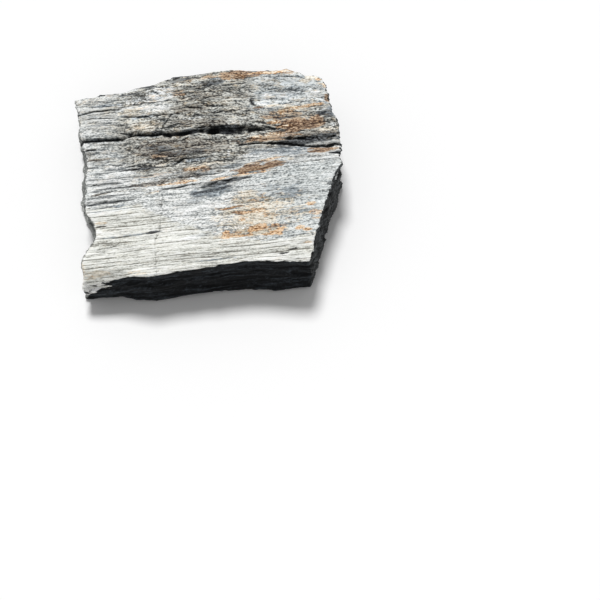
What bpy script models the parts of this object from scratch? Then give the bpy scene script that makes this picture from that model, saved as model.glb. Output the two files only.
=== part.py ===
"""A chunk of petrified wood: one split block of stone timber, lying on its parting face.

The grain runs along X. The weathered split face is on top, with its ledges and its cracks along
the grain. The two ends are broken across the grain, and the long sides are parted along it. It
grew and turned to stone as one piece, so it is one solid.

Lengths are in millimetres. They become metres where the mesh is made. Depths and heights are
positive numbers, and "front" is the side at -Y.
"""

import functools
import math

import bmesh
import bpy
from mathutils import Vector, noise

MM = 0.001
NAME = "petrified_wood"

# The split face seen from above. The long edges give Y at X, and the ends give X at Y.
FRONT_EDGE = [
    (-75, -53.5), (-61, -54.5), (-52, -54.5), (-45, -56), (-37, -57), (-25, -56), (-12, -55), (17, -54.5),
    (33, -56.5), (50, -58.5),
]
BACK_EDGE = [
    (-75, 62), (-60, 62.8), (-43, 63), (-38, 64.5), (-27, 65.5), (-21, 68.5), (-4, 69), (16, 69),
    (44, 65.5), (49, 66.5), (54, 63.5), (58, 60), (65, 60), (68.5, 57.5),
]
LEFT_END = [
    (-53.5, -75), (-47, -74), (-43, -74.5), (-38, -72), (-33, -68.5), (-29, -66), (-24, -66.5), (-18, -68.5),
    (-12, -72), (-6, -71.5), (0, -70), (12, -69.5), (20, -69), (29, -71), (36, -72.5), (44, -72),
    (53, -73.5), (62, -75),
]
RIGHT_END = [
    (-58.5, 50), (-51, 52.5), (-42, 55.5), (-31, 59.5), (-21, 63.5), (-13, 67), (-5, 70), (0, 74),
    (2.5, 74.5), (5, 72.5), (9, 75.5), (18, 75), (23, 75.5), (30, 73.5), (38, 71.5), (48, 71), (57.5, 68.5),
]

# How far the foot of each side stands out past the edge above it.
LEFT_FLARE = [
    (-54, 1.6), (-40, 0.4), (-16, -0.4), (-10, -0.6), (-6, 2), (-2, 4.9), (3, 6.3), (14, 6.4), (19, 5.4),
    (24, 3.3), (29, 1.3), (36, 0.4), (41, 1.4), (45, 2.2), (53, 1.6), (61, 0.6),
]
RIGHT_FLARE = [(-58, 1), (-40, 2), (-10, 2), (5, 0), (25, -1), (56, 2)]
FRONT_FLARE = [(-75, 0.4), (-60, 0.7), (-46, 2.5), (-30, 3), (-10, 3), (30, 3.5), (50, 1.5)]
BACK_FLARE = [(-75, 3), (-40, 1), (-10, -3), (25, -1), (50, 3), (68, 4)]
FLARE_POWER = 1.3
BELLY_DEPTH = 1.6

# The underside stands on four feet. Between them run a hollow across the grain and one along it: where
# its middle is, its half width, and its depth. What is shallower than the margin is part of a foot.
HOLLOW_ACROSS = (-4.0, 14.0, 6.2)
HOLLOW_ALONG = (3.0, 12.0, 5.6)
FOOT_MARGIN = 0.7
RIM_LIFT = 2.2

# The split face is a little higher at its right end, where the block is thickest.
MIDDLE_HEIGHT = 30.5
RISE_PER_LENGTH = 0.055
CROWN_HEIGHT = 1.5
BACK_ROLL_WIDTH = 7.0
BACK_ROLL_DROP = 2.2

# At the front left corner the face ends in broken layers, each a step down and a little further out.
CORNER_END = -44.0
CORNER_FULL = -60.0
CORNER_WIDTH = 5.0
CORNER_DROP = 4.5
CORNER_STEP_OUT = 2.2

# Each crack: its path along the grain, its half width, its depth, and how much higher its back lip stands.
CRACKS = {
    "main": (
        [(-78, 33), (-60, 31.8), (-46, 31), (-32, 31.8), (-9, 31.3), (4, 30.4), (16, 28.2), (42, 25.5)],
        1.3, 5.5, 1.3,
    ),
    "right_end": ([(16, 18.8), (30, 17.1), (41, 16.7), (52, 14.6), (64, 12), (80, 11.7)], 1.2, 4.0, 1.5),
    "right_end_upper": ([(40, 19.4), (52, 17.7), (64, 17.4), (80, 16.8)], 1.1, 2.6, 1.2),
    "upper_left": ([(-80, 51.6), (-60, 50.2), (-44, 49.2)], 0.9, 2.0, 0.6),
    "upper_middle": ([(-50, 43.9), (-32, 42.3), (-20, 41), (-16.6, 43.2), (-6, 44.4)], 0.7, 1.4, 0.7),
    "brown_edge": ([(-26, 11.2), (-15, 12.2), (-5, 11.8), (20, 9)], 0.8, 1.5, 0.8),
    "hollow_lip": ([(-25, -2.6), (-12, -3.5), (5, -3.4), (16, -2.4), (26, -3.2)], 1.2, 2.0, 1.3),
    "left_ledge": ([(-78, -8.4), (-57, -8.4), (-42, -8.8)], 0.9, 1.2, 1.3),
    "low_ledge": ([(-56, -30.2), (-36, -30.6), (-27, -30.2)], 0.8, 1.0, 0.5),
}
CRACK_TAPER = 9.0
LIP_WIDTH = 16.0

# Long ledges where one layer of the wood ends on the face: Y of the edge, and the drop to the front.
LEDGES = [(57.5, 1.4), (47.0, 0.9), (38.0, 1.1), (24.0, 1.0), (4.0, 1.1), (-16.0, 0.7), (-46.0, 0.8)]
LEDGE_WANDER = 3.0

# Lumps and pits left where the top right of the face broke across the grain: X, Y, radius, height.
KNOBS = [
    (49, 60, 8, 2.2), (66, 54, 7, 1.6), (31, 47.5, 6, -2.2), (36, 51, 4, -1.2), (58, 40, 9, 1.2),
    (69, 31, 6, 1.6), (12, 60, 12, 1.4), (6, -8, 10, -1.5), (-62, 24, 9, 0.8), (47, -17, 11, -0.9),
]

# The mesh's cells: long ones, because the grain is.
CELLS_ALONG = 30
CELLS_ACROSS = 56
CELLS_UP = 8

# Rows of cells crowd together along a crack, over this distance and to this many times their usual number.
CROWD_WIDTH = 2.2
CROWDING = 2.6
CROWD_SAMPLES = 240

STONE_COLOUR = (0.46, 0.45, 0.42, 1.0)
STONE_ROUGHNESS = 0.85


def along(table, at):
    """The value at a place on a table of (place, value) pairs, straight between its points."""
    if at <= table[0][0]:
        return table[0][1]
    for (start, first), (end, second) in zip(table, table[1:]):
        if at <= end:
            return first + (second - first) * (at - start) / (end - start)
    return table[-1][1]


def smooth(edge_0, edge_1, value):
    """0 before edge_0, 1 after edge_1, and a smooth slope between them."""
    t = min(1.0, max(0.0, (value - edge_0) / (edge_1 - edge_0)))
    return t * t * (3 - 2 * t)


def wave(x, y, z, size_x, size_y, size_z, layer=0.0):
    """Smooth noise from -1 to 1 whose lumps have the given sizes."""
    return noise.noise(Vector((x / size_x, y / size_y, z / size_z + layer)))


def plan_point(u, v):
    """The point of the split face that lies at shares u along and v across it, between its four edges."""
    corner = {
        (0, 0): Vector((FRONT_EDGE[0][0], FRONT_EDGE[0][1])),
        (1, 0): Vector((FRONT_EDGE[-1][0], FRONT_EDGE[-1][1])),
        (0, 1): Vector((BACK_EDGE[0][0], BACK_EDGE[0][1])),
        (1, 1): Vector((BACK_EDGE[-1][0], BACK_EDGE[-1][1])),
    }
    front_x = corner[0, 0].x + (corner[1, 0].x - corner[0, 0].x) * u
    back_x = corner[0, 1].x + (corner[1, 1].x - corner[0, 1].x) * u
    left_y = corner[0, 0].y + (corner[0, 1].y - corner[0, 0].y) * v
    right_y = corner[1, 0].y + (corner[1, 1].y - corner[1, 0].y) * v
    front = Vector((front_x, along(FRONT_EDGE, front_x)))
    back = Vector((back_x, along(BACK_EDGE, back_x)))
    left = Vector((along(LEFT_END, left_y), left_y))
    right = Vector((along(RIGHT_END, right_y), right_y))
    across = front.lerp(back, v) + left.lerp(right, u)
    return across - corner[0, 0].lerp(corner[1, 0], u).lerp(corner[0, 1].lerp(corner[1, 1], u), v)


def crack_share(path, x):
    """How open a crack is at x: 0 past its ends, 1 along its middle."""
    return smooth(path[0][0], path[0][0] + CRACK_TAPER, x) * smooth(path[-1][0], path[-1][0] - CRACK_TAPER, x)


@functools.cache
def row_shares(u):
    """The share across the face of each row of cells at share u along it. Rows crowd along the cracks."""
    x = plan_point(u, 0.5).x
    front, back = along(FRONT_EDGE, x), along(BACK_EDGE, x)
    passed = [0.0]
    for sample in range(CROWD_SAMPLES):
        y = front + (back - front) * (sample + 0.5) / CROWD_SAMPLES
        crowd = 0.0
        for path, _, _, _ in CRACKS.values():
            nearness = math.exp(-(((y - along(path, x)) / CROWD_WIDTH) ** 2))
            crowd = max(crowd, crack_share(path, x) * nearness)
        passed.append(passed[-1] + 1 + (CROWDING - 1) * crowd)
    places = [(total / passed[-1], sample / CROWD_SAMPLES) for sample, total in enumerate(passed)]
    return [along(places, row / CELLS_ACROSS) for row in range(CELLS_ACROSS + 1)]


def crack_relief(x, y):
    """Height of the split face that its cracks and their lips add."""
    height = 0.0
    for path, half_width, depth, lip in CRACKS.values():
        share = crack_share(path, x)
        offset = y - along(path, x)
        height -= share * depth * math.exp(-((offset / half_width) ** 2))
        raised = smooth(-half_width, half_width, offset) * math.exp(-max(0.0, offset) / LIP_WIDTH)
        height += share * lip * raised
    return height


def ledge_relief(x, y):
    """Height that the ends of the wood's layers add, each a step down to the front."""
    height = 0.0
    for edge, drop in LEDGES:
        wander = LEDGE_WANDER * wave(x, edge, 0, 24, 9, 1) + 0.4 * LEDGE_WANDER * wave(x, edge, 0, 7, 9, 1, 3)
        offset = y - edge - wander
        height += drop * (smooth(-0.9, 0.9, offset) - 0.5) * math.exp(-abs(offset) / LIP_WIDTH)
    return height


def corner_share(x):
    """How much of the front left corner's broken layers there is at x."""
    return smooth(CORNER_END, CORNER_FULL, x)


def corner_drop(x, y):
    """How far the front left corner lies below the face."""
    return CORNER_DROP * corner_share(x) * smooth(CORNER_WIDTH, 0, y - along(FRONT_EDGE, x))


def face_height(x, y):
    """Height of the weathered split face above the ground."""
    height = MIDDLE_HEIGHT + RISE_PER_LENGTH * x
    height += CROWN_HEIGHT * wave(x, y, 0, 70, 46, 1)
    roll = smooth(0, BACK_ROLL_WIDTH, along(BACK_EDGE, x) - y)
    height -= BACK_ROLL_DROP * (1 - roll) ** 2
    for knob_x, knob_y, radius, rise in KNOBS:
        height += rise * math.exp(-(((x - knob_x) ** 2 + 1.6 * (y - knob_y) ** 2) / radius**2))
    rough = smooth(20, 55, x) * smooth(20, 45, y)
    height += 0.9 * rough * wave(x, y, 0, 7, 5, 1, 9)
    height += 0.45 * wave(x, y, 0, 30, 3.4, 1, 7)
    return height + crack_relief(x, y) + ledge_relief(x, y) - corner_drop(x, y)


def foot_height(u, v, x, y):
    """Height of the underside: flat on its four feet, hollow between them, with a lifted rim."""
    rim = min(u, 1 - u, 1.2 * v, 1.2 * (1 - v))
    lift = RIM_LIFT * (1 - smooth(0, 0.13, rim)) * (0.65 + 0.9 * wave(x, y, 0, 22, 18, 1, 11))
    hollow = 0.0
    for place, (middle, half_width, depth) in ((x, HOLLOW_ACROSS), (y, HOLLOW_ALONG)):
        wander = 9 * wave(x, y, 0, 46, 40, 1, 13)
        hollow = max(hollow, depth * math.exp(-(((place - middle - wander) / half_width) ** 2)))
    hollow += 0.8 * wave(x, y, 0, 26, 5, 1, 15) - FOOT_MARGIN
    return max(0.0, lift) + max(0.0, hollow) * (0.25 + 0.75 * smooth(0, 0.15, rim))


def side_offset(u, v, w, x, y):
    """How far a point at height share w stands out from the face's edge above it, as (dx, dy)."""
    below = (1 - w) ** FLARE_POWER
    belly = BELLY_DEPTH * 4 * w * (1 - w)
    left = along(LEFT_FLARE, y) * below + belly * wave(x, y, 30 * w, 10, 13, 14, 17)
    right = along(RIGHT_FLARE, y) * below + belly * wave(x, y, 30 * w, 10, 15, 12, 19)
    front = along(FRONT_FLARE, x) * below + belly * wave(x, y, 30 * w, 55, 30, 9, 21)
    back = along(BACK_FLARE, x) * below + belly * wave(x, y, 30 * w, 50, 30, 9, 23)
    front += CORNER_STEP_OUT * corner_share(x) * smooth(1, 0.75, w) * smooth(0.2, 0.5, w)
    return -left * (1 - u) ** 4 + right * u**4, -front * (1 - v) ** 4 + back * v**4


def broken_fibres(u, w, y, z):
    """How far the bundles of an end stand out along the grain, each its own length."""
    bundle = noise.cell(Vector((y / 8.0 + 0.35 * wave(y, z, 0, 9, 9, 1), z / 9.0, 31.0 + 8 * round(u))))
    ragged = 1.8 * (bundle - 0.5) + 1.5 * wave(0, y, z, 1, 9, 8, 25 + 7 * round(u))
    return ragged * math.sin(math.pi * (0.15 + 0.7 * w))


def parted_layers(v, w, x, z):
    """How far the layers of a long side stand out across the grain, each its own depth."""
    layer = noise.cell(Vector((x / 47.0 + 0.6 * wave(x, z, 0, 19, 5, 1), z / 6.0, 41.0 + 6 * round(v))))
    parted = 2.2 * (layer - 0.5) + 1.1 * wave(x, 0, z, 20, 1, 6, 27 + 5 * round(v))
    return parted * math.sin(math.pi * w)


def stone_point(u, v, w):
    """The place of a point of the block, from its shares along, across and up, each from 0 to 1."""
    crowded_v = row_shares(u)[round(v * CELLS_ACROSS)]
    x, y = plan_point(u, v + (crowded_v - v) * w**2)
    top = face_height(x, y)
    dx, dy = side_offset(u, v, w, x, y)
    bottom = foot_height(u, v, x + dx, y + dy)
    z = bottom + (top - bottom) * w
    if 0 < w < 1 and u in (0, 1):
        dx += (2 * u - 1) * broken_fibres(u, w, y, z)
    if 0 < w < 1 and v in (0, 1):
        dy += (2 * v - 1) * parted_layers(v, w, x, z)
    return Vector((x + dx, y + dy, z))


def block_cage():
    """A cube from 0 to 1, cut into the cells of the block along, across and up."""
    cage = bmesh.new()
    bmesh.ops.create_cube(cage, size=1.0)
    bmesh.ops.translate(cage, verts=cage.verts, vec=(0.5, 0.5, 0.5))
    for axis, cells in enumerate((CELLS_ALONG, CELLS_ACROSS, CELLS_UP)):
        run = [e for e in cage.edges if abs(e.verts[0].co[axis] - e.verts[1].co[axis]) > 0.5]
        bmesh.ops.subdivide_edges(cage, edges=run, cuts=cells - 1, use_grid_fill=True)
    return cage


def shares(co):
    """A cage point's shares along, across and up, free of rounding."""
    return tuple(round(c * n) / n for c, n in zip(co, (CELLS_ALONG, CELLS_ACROSS, CELLS_UP)))


def set_down(mesh):
    """Moves the mesh so that its box is centred on the origin and its lowest point is on the ground."""
    low = Vector(min(vert.co[axis] for vert in mesh.verts) for axis in range(3))
    high = Vector(max(vert.co[axis] for vert in mesh.verts) for axis in range(3))
    middle = (low + high) / 2
    bmesh.ops.translate(mesh, verts=mesh.verts, vec=(-middle.x, -middle.y, -low.z))


def stone_material():
    """The plain finish of the stone."""
    material = bpy.data.materials.new(NAME)
    material.use_nodes = True
    shader = material.node_tree.nodes["Principled BSDF"]
    shader.inputs["Base Color"].default_value = STONE_COLOUR
    shader.inputs["Roughness"].default_value = STONE_ROUGHNESS
    shader.inputs["Metallic"].default_value = 0.0
    return material


def make_stone():
    """The block as one mesh object."""
    block = block_cage()
    for vert in block.verts:
        vert.co = stone_point(*shares(vert.co)) * MM
    set_down(block)
    bmesh.ops.recalc_face_normals(block, faces=block.faces)
    mesh = bpy.data.meshes.new(NAME)
    block.to_mesh(mesh)
    block.free()
    mesh.materials.append(stone_material())
    return bpy.data.objects.new(NAME, mesh)


def main():
    for old in list(bpy.data.objects):
        bpy.data.objects.remove(old)
    collection = bpy.data.collections.new("petrified_wood")
    bpy.context.scene.collection.children.link(collection)
    collection.objects.link(make_stone())


main()
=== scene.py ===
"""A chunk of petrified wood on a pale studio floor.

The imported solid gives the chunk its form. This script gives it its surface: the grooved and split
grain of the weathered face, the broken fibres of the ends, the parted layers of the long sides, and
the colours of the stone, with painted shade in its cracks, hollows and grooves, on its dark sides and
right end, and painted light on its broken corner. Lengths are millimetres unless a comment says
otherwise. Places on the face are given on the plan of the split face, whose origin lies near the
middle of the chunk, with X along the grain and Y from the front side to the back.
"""

import itertools
import logging
import math
from dataclasses import dataclass, field
from enum import Enum

import bmesh
import bpy
import numpy as np
from mathutils import Matrix, Vector


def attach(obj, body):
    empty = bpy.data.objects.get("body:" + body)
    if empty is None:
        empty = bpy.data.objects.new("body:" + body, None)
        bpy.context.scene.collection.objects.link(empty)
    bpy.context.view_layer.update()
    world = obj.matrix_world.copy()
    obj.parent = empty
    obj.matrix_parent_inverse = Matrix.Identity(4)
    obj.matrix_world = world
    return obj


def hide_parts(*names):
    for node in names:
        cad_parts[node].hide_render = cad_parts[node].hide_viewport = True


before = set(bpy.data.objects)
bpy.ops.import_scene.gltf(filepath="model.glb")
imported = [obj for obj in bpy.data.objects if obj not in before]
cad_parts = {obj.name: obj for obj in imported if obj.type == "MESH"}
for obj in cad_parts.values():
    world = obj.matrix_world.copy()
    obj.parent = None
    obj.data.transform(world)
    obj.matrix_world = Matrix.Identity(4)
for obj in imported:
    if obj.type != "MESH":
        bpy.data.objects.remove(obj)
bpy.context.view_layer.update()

LOG = logging.getLogger("petrified_wood")

MM = 0.001
NODE = "petrified_wood"
PIECE = "weathered_chunk"

# Where the origin of the face's plan lies in the frame.
PLAN_ORIGIN = (0.4, -4.74)

# An X on the plan that lies past both ends of the chunk.
PAST_END = 80.0

# A point that is lower than this stands on the floor.
ON_FLOOR = 0.05

Colour = tuple[float, float, float]
Sizes = tuple[float, float, float]
Path = tuple[tuple[float, float], ...]
Zones = dict[str, np.ndarray]


# ---------------------------------------------------------------- numbers and noise

# Large odd numbers that scatter the cells of the noise, and how many levels a cell's value has.
CELL_STEPS = np.array([374761393, 668265263, 1442695041])
SEED_STEP = 974634777
MIX_STEP = 1274126177
LIFT_STEP = 40503
WHOLE_NUMBERS = 0x7FFFFFFF
LEVELS = 65536


def tint(red: int, green: int, blue: int) -> Colour:
    """The linear colour of a display colour given from 0 to 255.

    Args:
        red, green, blue: The display colour.

    Returns:
        The colour that a shader's socket takes.
    """
    def linear(level: float) -> float:
        """One channel, from display to linear."""
        return level / 12.92 if level <= 0.04045 else ((level + 0.055) / 1.055) ** 2.4

    return linear(red / 255), linear(green / 255), linear(blue / 255)


def smooth(low: float, high: float, value: np.ndarray) -> np.ndarray:
    """0 at low, 1 at high, and a smooth slope between them. Low may be above high."""
    share = np.clip((value - low) / (high - low), 0.0, 1.0)
    return share * share * (3 - 2 * share)


def flat(x: np.ndarray, y: np.ndarray) -> np.ndarray:
    """Points on a plane, one row each, for noise that is the same at every depth."""
    return np.stack([x, y, 0 * x], 1)


@dataclass(frozen=True)
class StoneNoise:
    """Smooth noise through the stone, the same in every run.

    Attributes:
        seed: Which noise it is, so that no two uses repeat each other.
    """

    seed: int

    def _mixed(self, cells: np.ndarray) -> np.ndarray:
        """A well mixed whole number for each cell.

        Args:
            cells: The cells' places, as whole numbers, one row each.

        Returns:
            A number for each cell, from 0 to just below LEVELS.
        """
        mixed = (cells @ CELL_STEPS + self.seed * SEED_STEP) & WHOLE_NUMBERS
        mixed = ((mixed ^ (mixed >> 13)) * MIX_STEP) & WHOLE_NUMBERS
        return (mixed ^ (mixed >> 15)) & (LEVELS - 1)

    def waves(self, points: np.ndarray, sizes: Sizes) -> np.ndarray:
        """Smooth noise whose lumps have the given sizes.

        Args:
            points: Places, one row each.
            sizes: How large the lumps are along X, Y and Z.

        Returns:
            A value for each point, mostly from -1 to 1.
        """
        scaled = points / np.array(sizes)
        base = np.floor(scaled)
        part = scaled - base
        fade = part**3 * (part * (part * 6 - 15) + 10)
        total = np.zeros(len(points))
        for corner in itertools.product((0, 1), repeat=3):
            mixed = self._mixed((base + corner).astype(np.int64))
            turn = mixed * (math.tau / LEVELS)
            lift = ((mixed * LIFT_STEP) & (LEVELS - 1)) / (LEVELS / 2) - 1
            level = np.sqrt(1 - lift * lift)
            along, across, up = (part - corner).T
            push = along * level * np.cos(turn) + across * level * np.sin(turn) + up * lift
            total += push * np.prod(np.where(corner, fade, 1 - fade), axis=1)
        return 1.6 * total

    def ridges(self, points: np.ndarray, sizes: Sizes) -> np.ndarray:
        """Sharp crests of the given spacing: 1 on a crest, and about 0 between crests."""
        return 1 - 2 * np.abs(self.waves(points, sizes))

    def bundles(self, points: np.ndarray, sizes: Sizes) -> np.ndarray:
        """One value from -1 to 1 for each cell of the given size, the same all over the cell."""
        cells = np.floor(points / np.array(sizes)).astype(np.int64)
        return self._mixed(cells) / (LEVELS / 2) - 1


def waves(points: np.ndarray, *parts: tuple[float, int, Sizes]) -> np.ndarray:
    """Several smooth noises, added up. Each part has its strength, its seed and its lumps' sizes."""
    return sum(strength * StoneNoise(seed).waves(points, sizes) for strength, seed, sizes in parts)


# ---------------------------------------------------------------- what marks the face


class Tint(Enum):
    """What a stain on the face looks like."""

    SLATE = "slate"
    UMBER = "umber"
    TAN = "tan"
    CHALK = "chalk"
    GINGER = "ginger"
    RUST = "rust"
    # Partly the stone's dark bands, partly painted shade in cracks, hollows and under ledges.
    SHADE = "shade"


@dataclass(frozen=True)
class Stain:
    """A soft patch of colour on the split face, longer along the grain than across it.

    Attributes:
        x, y: Its middle on the plan.
        half_length, half_width: How far it reaches along and across the grain.
        strength: How strong it is at its middle, up to 1.
        turn: How far it is turned from the X axis, in degrees.
        edge: At which shares of its reach it has gone, and is whole.
        ragged: How far its outline strays, as a share of its reach.
    """

    x: float
    y: float
    half_length: float
    half_width: float
    strength: float = 1.0
    turn: float = 0.0
    edge: tuple[float, float] = (1.35, 0.55)
    ragged: float = 0.55

    def share(self, x: np.ndarray, y: np.ndarray, straying: np.ndarray) -> np.ndarray:
        """How strong the stain is at each place.

        Args:
            x, y: Places on the plan.
            straying: Noise that breaks up the outline.

        Returns:
            The stain's strength at each place, from 0 to its own strength.
        """
        turn = math.radians(self.turn)
        dx, dy = x - self.x, y - self.y
        along = (dx * math.cos(turn) + dy * math.sin(turn)) / self.half_length
        across = (dy * math.cos(turn) - dx * math.sin(turn)) / self.half_width
        return self.strength * smooth(*self.edge, np.hypot(along, across) + self.ragged * straying)


@dataclass(frozen=True)
class Split:
    """An open split in the face.

    Attributes:
        path: The points on the plan that it runs through, from left to right or back to front.
        half_width: Half of its width at its middle.
        depth: Its depth at its middle.
        taper: How far from each end it has its full depth.
        broken: How much of it is interrupted, from 0 to 1.
        tip: The share of its width that is left at its ends.
    """

    path: Path
    half_width: float
    depth: float
    taper: float = 6.0
    broken: float = 1.0
    tip: float = 0.35

    def beside(self, x: np.ndarray, y: np.ndarray) -> tuple[np.ndarray, np.ndarray]:
        """Where each place lies beside the split.

        Args:
            x, y: Places on the plan.

        Returns:
            How far each place is from the split, in its half widths and below 0 on its front side,
            and how fully open the split is there, from 0 at its ends to 1.
        """
        points = np.array(self.path)
        lengths = np.hypot(*np.diff(points, axis=0).T)
        starts = np.concatenate([[0.0], np.cumsum(lengths)])
        nearest = np.full(len(x), np.inf)
        passed = np.zeros(len(x))
        for (ax, ay), (bx, by), length, start in zip(points, points[1:], lengths, starts):
            dx, dy = bx - ax, by - ay
            share = np.clip(((x - ax) * dx + (y - ay) * dy) / length**2, 0.0, 1.0)
            gap = np.hypot(x - ax - share * dx, y - ay - share * dy)
            gap = np.copysign(gap, dx * (y - ay) - dy * (x - ax))
            closer = np.abs(gap) < np.abs(nearest)
            nearest = np.where(closer, gap, nearest)
            passed = np.where(closer, start + share * length, passed)
        ends = smooth(0, self.taper, passed) * smooth(starts[-1], starts[-1] - self.taper, passed)
        return nearest / (self.half_width * (self.tip + (1 - self.tip) * ends)), ends


@dataclass(frozen=True)
class WideCrack:
    """A crack of the solid that is closed up, so that the narrower splits of the face can be cut.

    Attributes:
        path: The points on the plan that it runs through, from left to right.
        closed_x, closed: How much of it is closed at each X.
        reach: How far from its middle the face is made even.
        bank: Half of the width of the strips at its reach whose heights it takes.
        column: How long the stretches are that a height is averaged over.
        rounding: Over how much of its reach the new surface runs into the old.
        meeting: How far from its middle the front bank's height starts to turn into the back one's.
    """

    path: Path
    closed_x: tuple[float, ...]
    closed: tuple[float, ...]
    reach: float = 4.2
    bank: float = 0.9
    column: float = 2.0
    rounding: float = 1.4
    meeting: float = 1.2

    def filling(self, places: np.ndarray, on_face: np.ndarray) -> np.ndarray:
        """How much each point is lifted.

        Args:
            places: Places on the plan.
            on_face: Which of them lie on the face, from 0 to 1.

        Returns:
            The lift of each point.
        """
        x, y, z = places.T
        offset = y - np.interp(x, *np.array(self.path).T)
        columns = np.arange(-PAST_END, PAST_END + 1, self.column)
        banks = []
        for side in (-self.reach, self.reach):
            near = np.flatnonzero((np.abs(offset - side) < self.bank) & (on_face > 0.5))
            column = np.round((x[near] - columns[0]) / self.column).astype(int)
            count = np.bincount(column, minlength=len(columns))
            total = np.bincount(column, weights=z[near], minlength=len(columns))
            banks.append(np.interp(x, columns[count > 0], total[count > 0] / count[count > 0]))
        even = banks[0] + (banks[1] - banks[0]) * smooth(-self.meeting, self.meeting, offset)
        inside = smooth(self.reach, self.reach - self.rounding, np.abs(offset)) * on_face
        return inside * np.interp(x, self.closed_x, self.closed) * np.maximum(0, even - z)
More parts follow.
